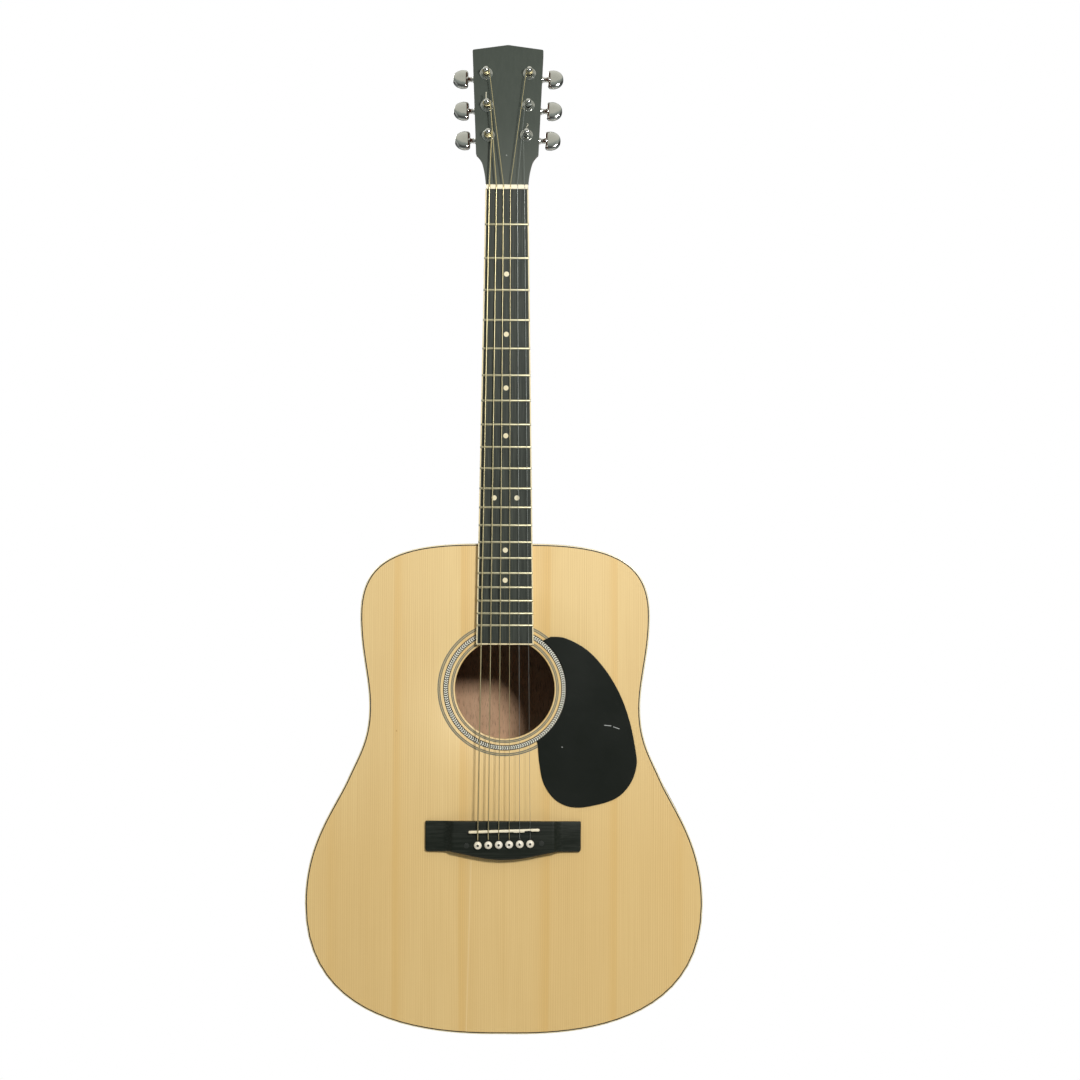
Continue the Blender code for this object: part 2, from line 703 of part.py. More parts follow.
def build_fingerboard(ebony):
    end = NUT_Z - FINGERBOARD_LENGTH
    near, far = FINGERBOARD_HALF_WIDTHS
    outline = ((-near, NUT_Z - 0.1), (near, NUT_Z - 0.1), (far, end), (-far, end))
    base = FACE_Y - GAP
    top = base - FINGERBOARD_THICKNESS
    board = new_object("fingerboard", *prism(outline, base, top), ebony)
    frets = []
    for number in range(1, FRETS + 1):
        z = fret_z(number)
        half = fingerboard_half_width(z) - 0.5
        wide, narrow = FRET_WIDTH / 2, FRET_WIDTH / 4
        profile = ((top + 0.8, z - wide), (top + 0.8, z + wide), (top - 0.5 * FRET_HEIGHT, z + wide),
                   (top - FRET_HEIGHT, z + narrow), (top - FRET_HEIGHT, z - narrow),
                   (top - 0.5 * FRET_HEIGHT, z - wide))
        frets.append(loft([[(-half, y, w) for y, w in profile], [(half, y, w) for y, w in profile]]))
    boolean(board, new_object("fret_wires", *joined(*frets)), "UNION")


def build_nut(bone):
    low, high = NUT_Z + 0.2, NUT_Z + NUT_LENGTH
    base = FACE_Y - GAP
    profile = ((base, low), (base, high), (NUT_TOP_Y + 1.4, high),
               (NUT_TOP_Y, high - 1.2), (NUT_TOP_Y, low))
    ends = [[(x, y, z) for y, z in profile] for x in (-NUT_HALF_WIDTH, NUT_HALF_WIDTH)]
    new_object("nut", *loft(ends), bone)


def build_truss_rod(steel, brass):
    rod = circle(0, ROD_Y, ROD_RADIUS, 10)
    ends = (NUT_Z - 14, ROD_NUT_Z - 8)
    new_object("truss_rod", *loft([[(x, y, z) for x, y in rod] for z in ends]), steel)
    shell = circle(0, ROD_Y, 4.2, 6)
    length = 17.0
    nut = new_object(
        "truss_rod_nut", *loft([[(x, y, z) for x, y in shell] for z in (ROD_NUT_Z, ROD_NUT_Z - length)]),
        brass, origin=(0, ROD_Y, ROD_NUT_Z))
    bore = circle(0, ROD_Y, 2.95, 10)
    threaded = loft([[(x, y, z) for x, y in bore] for z in (ROD_NUT_Z + 3, ROD_NUT_Z - 9)])
    socket = circle(0, ROD_Y, 2.4, 6)
    hexagon = loft([[(x, y, z) for x, y in socket] for z in (ROD_NUT_Z - 12, ROD_NUT_Z - length - 3)])
    boolean(nut, new_object("rod_thread_cutter", *threaded))
    boolean(nut, new_object("rod_socket_cutter", *hexagon))


# Tuners ---------------------------------------------------------------------------------------

def closed_ring(profile, place, sides):
    """A hollow turned piece: the profile is a closed loop."""
    sections = turned(profile, place, sides)
    loops = [[section[i] for section in sections] for i in range(sides)]
    return loft(loops, closed=True)


def post_with_gear(place):
    """A string post on a toothed wheel, as points and faces."""
    sides = GEAR_TEETH
    upper = turned(((1.3, POST_TOP), (2.5, POST_TOP - 0.5), (POST_RADIUS, POST_TOP - 1.8),
                    (POST_RADIUS, -15.4), (1.5, -16.0), (1.5, GEAR_SPAN[1])), place, sides)
    lower = turned(((1.5, GEAR_SPAN[0]), (1.5, POST_END)), place, sides)
    points = [p for ring in upper + lower for p in ring]
    faces = [tuple(range(sides))]
    faces.append(tuple(range(len(points) - sides, len(points))))
    spans = list(range(len(upper) - 1)) + [len(upper)]
    for i in spans:
        for j in range(sides):
            k = (j + 1) % sides
            low, high = i * sides, (i + 1) * sides
            faces.append((low + j, low + k, high + k, high + j))
    teeth = []
    for height in (GEAR_SPAN[1], GEAR_SPAN[0]):
        start = len(points)
        teeth.append(start)
        for j in range(2 * sides):
            radius = GEAR_RADIUS if j % 2 else GEAR_RADIUS - 0.6
            angle = math.pi * j / sides
            points.append(place(radius * math.cos(angle), radius * math.sin(angle), height))
    for start, hub in zip(teeth, ((len(upper) - 1) * sides, len(upper) * sides)):
        for j in range(sides):
            a, b, c = start + 2 * j, start + 2 * j + 1, start + (2 * j + 2) % (2 * sides)
            k = (j + 1) % sides
            faces += [(hub + j, a, b), (hub + j, b, hub + k), (hub + k, b, c)]
    for j in range(2 * sides):
        k = (j + 1) % (2 * sides)
        faces.append((teeth[0] + j, teeth[0] + k, teeth[1] + k, teeth[1] + j))
    return points, faces


def build_housing(name, along, chrome):
    """A cast cup screwed to the back of the headstock, open towards the wood."""
    def block(low, high):
        xs, us, outs = zip(low, high)
        ring = [(xs[0], us[0]), (xs[1], us[0]), (xs[1], us[1]), (xs[0], us[1])]
        return loft([[along(x, u, out) for x, u in ring] for out in outs])

    def cylinder(radius, start, end, sides=10):
        ring = circle(WORM_OFFSET, WORM_DEPTH, radius, sides)
        return loft([[along(x, u, out) for u, out in ring] for x in (start, end)])

    label = "tuner_housing_" + name
    housing = new_object(label, *block((-7.2, -5.5, HOUSING_BACK), (7.5, 8.5, -15.8)), chrome)
    boolean(housing, new_object(label + "_boss", *cylinder(3.4, 6.0, 14.5)), "UNION")
    hollow = block((-5.6, -3.9, HOUSING_BACK + 1.5), (5.6, 6.9, -10.0))
    boolean(housing, new_object(label + "_hollow", *hollow))
    boolean(housing, new_object(label + "_bore", *cylinder(2.5, 3.0, 20.0)))


def build_button(name, along, chrome):
    """A half-moon button on the worm's shaft, which turns round the shaft's axis."""
    width, height, thick = BUTTON_SIZE
    outline = [(0.0, -0.41 * height), (0.12 * width, -0.49 * height)]
    for degrees in range(-75, 76, 15):
        a = math.radians(degrees)
        outline.append((width * (0.22 + 0.78 * math.cos(a)), height / 2 * math.sin(a)))
    outline += [(0.12 * width, 0.49 * height), (0.0, 0.41 * height)]
    centre = 0.42 * width
    layers = []
    for out, size in ((-0.5, 0.8), (-0.25, 1.0), (0.25, 1.0), (0.5, 0.8)):
        middle = BUTTON_START + centre
        layers.append([
            along(middle + (x - centre) * size, WORM_OFFSET + u * size, WORM_DEPTH + out * thick)
            for x, u in outline
        ])
    origin = along(0.0, WORM_OFFSET, WORM_DEPTH)
    button = new_object("tuner_button_" + name, *loft(layers), chrome, origin=origin, smooth=True)
    profile = ((WORM_RADIUS, -4.8), (WORM_RADIUS, 5.2), (SHAFT_RADIUS, 5.6), (SHAFT_RADIUS, 24.0))
    shaft = [[along(x, WORM_OFFSET + u, WORM_DEPTH + out) for u, out in circle(0, 0, radius, 10)]
             for radius, x in profile]
    boolean(button, new_object("tuner_shaft_" + name, *loft(shaft)), "UNION")


def build_tuners(chrome):
    for name, post_x, post_u, _ in TUNERS:
        side = math.copysign(1.0, post_x)

        def along(x, u, out):
            return on_headstock(post_x + side * x, post_u + u, out)

        new_object("tuner_bushing_" + name, *closed_ring(
            ((3.5, 3.0), (4.4, 3.0), (5.3, 1.9), (5.4, 1.2), (6.7, 1.0), (6.7, GAP), (4.4, GAP),
             (4.4, -13.5), (3.5, -13.5)), along, 12), chrome)
        new_object("tuner_post_" + name, *post_with_gear(along), chrome, origin=along(0, 0, 0))
        build_housing(name, along, chrome)
        build_button(name, along, chrome)


# Strings --------------------------------------------------------------------------------------

def build_strings(bronze, steel):
    for i, (name, post_x, post_u, turn_height) in enumerate(TUNERS):
        radius = STRING_DIAMETERS[i] / 2
        nut_x = (i - 2.5) * NUT_SPACING
        pin_x, pin_z = pin_places()[i]
        hole_z = pin_z + STRING_HOLE_OFFSET
        saddle_z = SADDLE_Z + SADDLE_SLANT * pin_x
        under_plate = FACE_Y + PLATE_THICKNESS + GAP + 3
        saddle_y = SADDLE_TOP_Y - GAP - radius
        nut_y = NUT_TOP_Y - GAP - radius
        path = [(pin_x, under_plate + 4.2, hole_z), (pin_x, under_plate + 0.9, hole_z)]
        radii = [1.9, 1.9]
        path += [(pin_x, under_plate + 0.4, hole_z), (pin_x, -21.3, hole_z), (pin_x, -22.3, hole_z + 1.0),
                 (pin_x, saddle_y + 0.2, saddle_z - 2.4), (pin_x, saddle_y, saddle_z - 1.0),
                 (pin_x, saddle_y, saddle_z + 0.6), (nut_x, nut_y, NUT_Z - 0.5),
                 (nut_x, nut_y, NUT_Z + 3.4)]
        side = -math.copysign(1.0, post_x)
        coil = (POST_RADIUS + GAP + radius + 0.05) / math.cos(math.pi / 8)
        pitch = 2 * radius + 0.35
        for step in range(POST_TURNS + 1):
            angle = math.pi / 4 * step
            path.append(on_headstock(
                post_x + side * coil * math.cos(angle), post_u + coil * math.sin(angle),
                turn_height - pitch * step / 8))
        radii += [radius] * (len(path) - 2)
        new_object("string_" + name, *tube(path, radii), bronze if i < 4 else steel, smooth=True)


def main():
    clear_scene()
    spruce = new_material("spruce_top", (0.72, 0.50, 0.24), 0.35)
    brace_wood = new_material("brace_spruce", (0.62, 0.43, 0.25), 0.6)
    mahogany = new_material("mahogany_body", (0.22, 0.075, 0.03), 0.35)
    neck_wood = new_material("mahogany_neck", (0.20, 0.07, 0.03), 0.4)
    cream = new_material("cream_binding", (0.80, 0.70, 0.48), 0.35)
    bone = new_material("bone", (0.82, 0.76, 0.62), 0.35)
    ebony = new_material("black_fingerboard", (0.018, 0.018, 0.018), 0.45)
    bridge_wood = new_material("black_bridge", (0.016, 0.016, 0.017), 0.4)
    veneer = new_material("black_veneer", (0.03, 0.032, 0.03), 0.5)
    guard = new_material("black_plastic", (0.02, 0.02, 0.021), 0.4)
    inlay = new_material("rosette_inlay", (0.35, 0.30, 0.2), 0.4)
    white = new_material("white_plastic", (0.8, 0.78, 0.72), 0.3)
    chrome = new_material("chrome", (0.7, 0.7, 0.7), 0.12, 1.0)
    steel = new_material("plain_steel", (0.6, 0.6, 0.6), 0.3, 1.0)
    bronze = new_material("wound_bronze", (0.62, 0.42, 0.16), 0.35, 1.0)
    brass = new_material("brass", (0.7, 0.5, 0.2), 0.3, 1.0)

    build_soundboard(spruce)
    build_rosette(inlay)
    build_back(mahogany)
    build_sides(mahogany)
    build_bindings(cream)
    build_linings(brace_wood)
    build_blocks(brace_wood)
    build_top_braces(brace_wood)
    build_back_braces(brace_wood)
    build_pickguard(guard)
    build_bridge(bridge_wood, bone)
    build_bridge_pins(white)
    build_end_pin(white)
    build_neck(neck_wood)
    build_overlay(veneer)
    build_fingerboard(ebony)
    build_nut(bone)
    build_truss_rod(steel, brass)
    build_tuners(chrome)
    build_strings(bronze, steel)


main()
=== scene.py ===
"""The looks of an acoustic guitar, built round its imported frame.

Sizes are in millimetres in the frame's own axes: +Z up the neck, -Y out of the soundboard, +X treble.
"""
import math

import bmesh
import bpy
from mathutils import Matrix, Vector


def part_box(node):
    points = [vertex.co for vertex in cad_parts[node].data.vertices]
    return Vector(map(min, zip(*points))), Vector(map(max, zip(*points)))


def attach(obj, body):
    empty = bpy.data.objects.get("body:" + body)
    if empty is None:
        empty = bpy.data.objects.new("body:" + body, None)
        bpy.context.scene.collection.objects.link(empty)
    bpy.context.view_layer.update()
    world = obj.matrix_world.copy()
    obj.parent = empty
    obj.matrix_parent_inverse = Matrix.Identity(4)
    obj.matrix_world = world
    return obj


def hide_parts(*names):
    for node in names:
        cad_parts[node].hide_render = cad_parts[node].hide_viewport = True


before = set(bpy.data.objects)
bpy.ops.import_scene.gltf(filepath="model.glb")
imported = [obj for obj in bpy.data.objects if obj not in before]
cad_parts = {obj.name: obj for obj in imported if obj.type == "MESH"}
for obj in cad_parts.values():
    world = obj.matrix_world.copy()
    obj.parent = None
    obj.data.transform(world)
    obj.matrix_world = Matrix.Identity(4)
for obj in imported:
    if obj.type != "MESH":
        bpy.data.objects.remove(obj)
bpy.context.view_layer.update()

MM = 0.001
ROOT = "guitar"


def box_mm(node):
    low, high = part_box(node)
    return low / MM, high / MM


# Places taken from the frame
FACE_Y = box_mm("soundboard")[0].y
BODY_TOP_Z = box_mm("top_binding")[1].z
BODY_TAIL_Z = box_mm("top_binding")[0].z
BODY_LENGTH = BODY_TOP_Z - BODY_TAIL_Z
BOARD_LOW, BOARD_HIGH = box_mm("fingerboard")
NUT_LOW, NUT_HIGH = box_mm("nut")
NUT_Z = BOARD_HIGH.z + 0.1
BRIDGE_LOW, BRIDGE_HIGH = box_mm("bridge")
SADDLE_LOW, SADDLE_HIGH = box_mm("saddle")
ROSETTE_LOW, ROSETTE_HIGH = box_mm("rosette")
SOUNDHOLE_Z = (ROSETTE_LOW.z + ROSETTE_HIGH.z) / 2

# Body
SOUNDHOLE_RADIUS = 50.6
ROPE_TEETH = 330
PLATE_THICKNESS = 3.0
SIDE_THICKNESS = 2.5
BINDING_WIDTH = 1.8
BINDING_DEPTH = 6.0
PURFLING_START = 0.95
PURFLING_WIDTH = 1.05
DEPTH_AT_NECK = 100.0
DEPTH_AT_TAIL = 120.0
BACK_RISE = 16.0
BACK_RADIUS = 5000.0
SHOULDER_START = (28.0, 0.0)
OUTLINE_CURVES = (
    ((114.0, 0.0), (147.0, 20.0), (147.0, 73.0)),
    ((147.0, 110.0), (137.6, 137.0), (137.6, 166.0)),
    ((137.6, 199.0), (148.0, 214.3), (159.0, 239.0)),
    ((172.9, 270.0), (202.0, 304.0), (202.0, 366.0)),
    ((202.0, 503.1), (41.5, 498.0), (0.0, 498.0)),
)
PICKGUARD_POINTS = (
    (46.5, 53.2), (61.5, 51.7), (83.0, 40.2), (101.5, 20.7), (116.7, -4.4), (127.0, -32.4),
    (133.4, -63.5), (134.0, -78.6), (128.0, -95.7), (114.7, -109.8), (94.0, -117.3),
    (70.6, -120.0), (52.5, -113.0), (40.2, -96.6), (35.5, -76.0), (33.7, -56.5),
)
# The pickguard's inner edge beside the rosette: radius, then start and sweep in degrees
PICKGUARD_ARC = (62.5, -58.5, 110.5)
# Worn marks on the pickguard: both ends as (x, z), and the half width
PICKGUARD_MARKS = (
    ((101.4, -567.0), (108.0, -567.6), 0.5),
    ((110.6, -568.6), (116.4, -570.6), 0.5),
    ((58.3, -589.3), (58.8, -589.6), 0.6),
)

# Neck
SCALE_LENGTH = 646.0
FIRST_FRET_SHIFT = 0.6
FRETS = 20
FRET_HALF_WIDTH = 1.1
FRET_HEIGHT = 0.98
DOT_FRETS = (3, 5, 7, 9, 12, 15, 17)
OCTAVE_FRET = 12
DOT_RADIUS = 2.6
DOT_PAIR_HALF = 11.5
SIDE_DOT_RADIUS = 1.0
SIDE_DOT_PAIR_HALF = 3.5
BOARD_HALF_WIDTHS = (21.8, 29.1)
BOARD_TOP_Y = BOARD_LOW.y + 1.0
BOARD_BASE_Y = BOARD_HIGH.y
BOARD_BINDING = 1.3
NECK_DEPTHS = (15.0, 17.0)
HEEL_START_Z = -335.0
HEEL_CAP_START_Z = -368.0
HEEL_CAP_Y = box_mm("neck")[1].y
HEEL_CAP_HALF = 12.2
HEEL_CAP_STRAIGHT = 9.5
HEEL_CAP_ROUND = 6.5
HEAD_TILT = math.radians(14)
HEAD_FACE_Y = -14.5
HEAD_BACK = 15.5
OVERLAY_THICKNESS = 1.5
HEAD_OUTLINE = (
    (21.7, 5.4), (21.9, 8.7), (22.5, 14.0), (23.6, 20.5), (25.6, 28.5), (28.0, 33.0),
    (31.3, 36.8), (31.8, 38.4), (36.4, 151.2), (35.3, 152.8), (0.0, 157.9),
)
THROAT_CARVE = 5.0

# Tuners and strings: name, post's x, its distance along the headstock, height of the first turn
TUNERS = (
    ("E_low", -19.5, 58.5, 6.3),
    ("A", -21.1, 91.0, 8.9),
    ("D", -22.2, 126.0, 7.6),
    ("G", 22.2, 126.0, 7.6),
    ("B", 21.1, 91.0, 8.4),
    ("E_high", 19.5, 58.5, 6.0),
)
STRING_DIAMETERS = (1.35, 1.07, 0.81, 0.61, 0.41, 0.30)
NUT_SPACING = 7.12
BRIDGE_SPACING = 10.6
POST_WAIST = 2.95
STRING_TURNS = 11 / 8
TURN_GAP = 0.12
BALL_END_RADIUS = 1.9
WORM_OFFSET = 4.0
WORM_DEPTH = -25.0
BUTTON_START = 18.9
BUTTON_SIZE = (16.0, 20.4, 7.0)

# Bridge
BRIDGE_HALF = (BRIDGE_HIGH.x - BRIDGE_LOW.x) / 2
BRIDGE_SHIFT = (BRIDGE_HIGH.x + BRIDGE_LOW.x) / 2
BRIDGE_RAISED_HALF = 51.6
BRIDGE_WING_Z = -695.6
WING_HEIGHTS = (4.0, 3.0)
SADDLE_Z = -674.1
SADDLE_SLANT = 0.0347
SADDLE_HALF_THICK = 1.4
PLUG_X = 38.0
PIN_Z = -687.9
STRING_HOLE_OFFSET = 5.1


# Camera -----------------------------------------------------------------------------------------

CAMERA_PLACE = (0.0351, FACE_Y * MM - 3.0, -0.3793)
CAMERA_ROLL = math.radians(-0.26)
CAMERA_LENS = 98.5


def make_camera():
    """In front of the soundboard, three metres off, as high as the middle of the guitar."""
    camera = bpy.data.objects.new("camera", bpy.data.cameras.new("camera"))
    bpy.context.scene.collection.objects.link(camera)
    camera.location = CAMERA_PLACE
    camera.rotation_euler = (math.radians(90), CAMERA_ROLL, 0.0)
    camera.data.lens = CAMERA_LENS
    camera.data.clip_end = 50
    bpy.context.scene.camera = camera


make_camera()


# Materials --------------------------------------------------------------------------------------

def set_stops(elements, stops):
    """Fills a colour ramp with (position, colour) stops, where a plain number is a grey."""
    while len(elements) < len(stops):
        elements.new(0.5)
    for element, (position, colour) in zip(elements, stops):
        element.position = position
        element.color = (*colour, 1.0) if isinstance(colour, tuple) else (colour, colour, colour, 1.0)


class Finish:
    """A Principled material with a few short ways to add nodes to it."""

    def __init__(self, name, colour, roughness, metallic=0.0, coat=0.0, coat_roughness=0.1, specular=0.5):
        self.material = bpy.data.materials.new(name)
        self.material.use_nodes = True
        self.tree = self.material.node_tree
        self.shader = self.tree.nodes["Principled BSDF"]
        self.set("Base Color", (*colour, 1.0))
        self.set("Roughness", roughness)
        self.set("Metallic", metallic)
        self.set("Coat Weight", coat)
        self.set("Coat Roughness", coat_roughness)
        self.set("Specular IOR Level", specular)
        coordinates = self.tree.nodes.new("ShaderNodeTexCoord")
        self.place = coordinates.outputs["Object"]
        split = self.node("ShaderNodeSeparateXYZ", {"Vector": self.place})
        self.x, self.y, self.z = split.outputs

    def set(self, name, value):
        socket = self.shader.inputs[name]
        if isinstance(value, bpy.types.NodeSocket):
            self.tree.links.new(value, socket)
        else:
            socket.default_value = value

    def node(self, kind, inputs=(), **settings):
        made = self.tree.nodes.new(kind)
        for name, value in settings.items():
            setattr(made, name, value)
        for name, value in dict(inputs).items():
            if isinstance(value, bpy.types.NodeSocket):
                self.tree.links.new(value, made.inputs[name])
            else:
                made.inputs[name].default_value = value
        return made

    def math(self, operation, first, second=0.0, clamp=False):
        made = self.node("ShaderNodeMath", {0: first, 1: second}, operation=operation, use_clamp=clamp)
        return made.outputs[0]

    def times(self, first, second):
        return self.math("MULTIPLY", first, second)

    def vector(self, x=0.0, y=0.0, z=0.0):
        return self.node("ShaderNodeCombineXYZ", {"X": x, "Y": y, "Z": z}).outputs[0]

    def stretched(self, share):
        """The place on the object, drawn out along the neck."""
        return self.vector(x=self.x, y=self.y, z=self.times(self.z, share))

    def noise(self, vector, scale, detail=3.0, roughness=0.55, distortion=0.0):
        made = self.node("ShaderNodeTexNoise", {
            "Vector": vector, "Scale": scale, "Detail": detail, "Roughness": roughness,
            "Distortion": distortion})
        return made.outputs["Fac"]

    def ramp(self, value, stops):
        made = self.node("ShaderNodeValToRGB", {"Fac": value})
        set_stops(made.color_ramp.elements, stops)
        return made.outputs["Color"]

    def span(self, value, low, high, to_low=0.0, to_high=1.0):
        made = self.node("ShaderNodeMapRange", {
            "Value": value, "From Min": low, "From Max": high, "To Min": to_low, "To Max": to_high})
        return made.outputs["Result"]

    def mix(self, share, first, second):
        made = self.node("ShaderNodeMix", data_type="RGBA")
        for index, value in ((0, share), (6, first), (7, second)):
            if isinstance(value, bpy.types.NodeSocket):
                self.tree.links.new(value, made.inputs[index])
            elif isinstance(value, tuple):
                made.inputs[index].default_value = (*value, 1.0)
            else:
                made.inputs[index].default_value = value
        return made.outputs[2]

    def scratch(self, start, end, half_width):
        """1 on a thin line between two (x, z) points in millimetres, fading to 0 beside it."""
        run = Vector((end[0] - start[0], end[1] - start[1])) * MM
        dx = self.math("SUBTRACT", self.x, start[0] * MM)
        dz = self.math("SUBTRACT", self.z, start[1] * MM)
        along = self.math("ADD", self.times(dx, run.x), self.times(dz, run.y))
        share = self.math("DIVIDE", along, run.length_squared, clamp=True)
        ex = self.math("SUBTRACT", dx, self.times(share, run.x))
        ez = self.math("SUBTRACT", dz, self.times(share, run.y))
        away = self.math("SQRT", self.math("ADD", self.times(ex, ex), self.times(ez, ez)))
        return self.span(away, 0.0, half_width * MM, 1.0, 0.0)

    def bump(self, height, strength, distance_mm):
        made = self.node("ShaderNodeBump", {
            "Height": height, "Strength": strength, "Distance": distance_mm * MM})
        self.set("Normal", made.outputs["Normal"])


GRAIN_SPACING = 0.0021
STREAK_REACH = 0.21
# Where the warm streaks lie across half the soundboard, as shares of that reach
STREAKS = (
    (0.0, 0.10), (0.03, 0.03), (0.12, 0.04), (0.165, 0.14), (0.195, 0.46), (0.214, 0.50), (0.223, 0.08),
    (0.30, 0.03), (0.46, 0.05), (0.500, 0.14), (0.525, 0.44), (0.540, 0.40), (0.549, 0.05), (0.70, 0.0),
    (0.80, 0.05), (0.845, 0.24), (0.870, 0.08), (0.92, 0.02), (1.0, 0.07),
)


def spruce():
    """Book-matched spruce: fine straight grain, mirrored about the centre joint, with warmer streaks and
    painted shade on its inner face.
    """
    f = Finish("spruce_finish", (0.8, 0.6, 0.3), 0.45, coat=0.25, coat_roughness=0.3)
    side = f.math("ABSOLUTE", f.x)
    drift = f.noise(f.vector(x=f.times(f.x, 2.0), z=f.times(f.z, 1.6)), 1.0, 2.0)
    wander = f.times(f.math("SUBTRACT", drift, 0.5), 0.010)
    across = f.math("ADD", side, wander)
    spacing = f.noise(f.vector(x=across), 38.0, 2.0, 0.5)
    turns = f.times(across, 2 * math.pi / GRAIN_SPACING)
    phase = f.math("ADD", turns, f.times(spacing, 26.0))
    rings = f.span(f.math("SINE", phase), -1.0, 1.0)
    weight = f.noise(f.vector(x=f.x, z=f.times(f.z, 0.12)), 22.0, 3.0, 0.6)
    fine = f.noise(f.vector(x=across, z=f.times(f.z, 0.008)), 900.0, 2.0, 0.6)
    cloud = f.noise(f.vector(x=f.x, z=f.times(f.z, 0.25)), 9.0, 3.0, 0.5)
    base = f.ramp(cloud, ((0.30, (0.755, 0.555, 0.258)), (0.70, (0.815, 0.620, 0.305))))
    streaks = f.ramp(f.span(across, 0.0, STREAK_REACH), STREAKS)
    warm = f.mix(streaks, base, (0.71, 0.435, 0.130))
    strength = f.span(weight, 0.35, 0.65, 0.18, 0.50)
    lined = f.mix(f.times(rings, strength), warm, (0.60, 0.385, 0.150))
    fibres = f.times(f.ramp(fine, ((0.45, 0.0), (0.70, 1.0))), 0.28)
    grained = f.mix(fibres, lined, (0.62, 0.405, 0.165))
    pale_line = f.times(f.scratch((-33.5, -706.0), (-37.6, -879.0), 1.0), 0.45)
    pale = f.mix(pale_line, grained, (0.88, 0.74, 0.47))
    pin_knot = f.times(f.scratch((-109.6, -573.2), (-109.6, -574.0), 0.9), 0.8)
    specked = f.mix(pin_knot, pale, (0.45, 0.22, 0.05))
    joint = f.ramp(f.times(side, 1000.0), ((0.0, 1.0), (0.35, 0.0)))
    jointed = f.mix(f.times(joint, 0.2), specked, (0.50, 0.31, 0.12))
    front = f.mix(f.span(f.z, -0.56, -0.70, 0.0, 0.24), jointed, (0.60, 0.36, 0.08))
    # Painted shade: the soundboard's inner face, inside the body, is darkened to stand for the shade there.
    inside = f.span(f.y, (FACE_Y + 1.0) * MM, (FACE_Y + 1.4) * MM)
    f.set("Base Color", f.mix(inside, front, (0.20, 0.13, 0.065)))
    f.set("Roughness", f.span(fine, 0.3, 0.7, 0.42, 0.52))
    f.bump(fine, 0.10, 0.04)
    return f.material


def end_grain_spruce():
    """The pale wood inside: braces, blocks and linings."""
    f = Finish("bare_spruce_finish", (0.6, 0.42, 0.25), 0.7)
    lines = f.noise(f.stretched(0.06), 500.0, 3.0)
    tone = f.noise(f.place, 12.0, 2.0)
    base = f.mix(tone, (0.52, 0.34, 0.20), (0.66, 0.47, 0.30))
    f.set("Base Color", f.mix(f.times(lines, 0.4), base, (0.38, 0.22, 0.11)))
    f.bump(lines, 0.2, 0.1)
    return f.material


def mahogany(name, dark, light, roughness, coat, pore_depth=0.12):
    """Reddish brown wood with ribbon streaks and short open pores along the grain."""
    f = Finish(name, dark, roughness, coat=coat, coat_roughness=0.18)
    along = f.times(f.z, 0.05)
    wander = f.noise(f.stretched(1.0), 6.0, 2.0)
    shift = f.times(f.math("SUBTRACT", wander, 0.5), 0.01)
    across = f.math("ADD", f.x, shift)
    ribbon = f.noise(f.vector(x=across, y=f.y, z=along), 70.0, 4.0, 0.6)
    fine = f.noise(f.vector(x=across, y=f.y, z=f.times(f.z, 0.03)), 900.0, 2.0, 0.6)
    pores = f.noise(f.stretched(0.09), 1500.0, 2.0, 0.5)
    holes = f.ramp(pores, ((0.56, 0.0), (0.66, 1.0)))
    base = f.mix(f.ramp(ribbon, ((0.32, 0.0), (0.68, 1.0))), dark, light)
    lined = f.mix(f.times(fine, 0.35), base, tuple(v * 0.55 for v in dark))
    f.set("Base Color", f.mix(f.times(holes, 0.55), lined, tuple(v * 0.25 for v in dark)))
    f.set("Roughness", f.span(ribbon, 0.3, 0.7, roughness - 0.05, roughness + 0.08))
    f.bump(f.times(holes, -1.0), 0.35, pore_depth)
    return f.material


def black_wood(name, colour, streak, roughness, specular, along_x=False):
    """Dyed black wood with a faint grey grain along the neck, or across it."""
    f = Finish(name, colour, roughness, specular=specular)
    x, z = (0.03, 1.0) if along_x else (1.0, 0.03)
    drawn_out = f.vector(x=f.times(f.x, x), y=f.y, z=f.times(f.z, z))
    grain = f.noise(drawn_out, 700.0, 4.0, 0.65)
    cloud = f.noise(f.place, 35.0, 3.0)
    lines = f.ramp(grain, ((0.42, 0.0), (0.70, 1.0)))
    base = f.mix(cloud, tuple(v * 0.8 for v in colour), tuple(v * 1.25 for v in colour))
    f.set("Base Color", f.mix(f.times(lines, 0.8), base, streak))
    f.set("Roughness", f.span(grain, 0.3, 0.7, roughness - 0.06, roughness + 0.1))
    f.bump(grain, 0.25, 0.08)
    return f.material


def headstock_black_painted_light():
    """Thinly lacquered black veneer, with painted light: lighter towards the nut, darker towards the tip."""
    f = Finish("headstock_painted_light_finish", (0.03, 0.04, 0.03), 0.5, specular=0.4)
    fine = f.noise(f.place, 1400.0, 3.0, 0.6)
    grain = f.noise(f.stretched(0.04), 300.0, 4.0, 0.6)
    # Painted light: the veneer gets lighter towards the nut and darker towards the tip, standing for how the
    # light falls on the tilted face.
    base = f.ramp(f.span(f.z, -0.02, 0.13), ((0.0, (0.060, 0.070, 0.059)), (0.45, (0.034, 0.044, 0.035)),
                                             (1.0, (0.030, 0.040, 0.031))))
    mottled = f.mix(f.times(f.span(grain, 0.35, 0.65), 0.22), base, (0.060, 0.070, 0.058))
    nick = f.scratch((-0.9, 12.2), (-0.5, 11.8), 0.7)
    f.set("Base Color", f.mix(f.times(nick, 0.7), mottled, (0.5, 0.52, 0.5)))
    f.set("Roughness", f.span(fine, 0.3, 0.7, 0.47, 0.55))
    f.bump(fine, 0.05, 0.02)
    return f.material


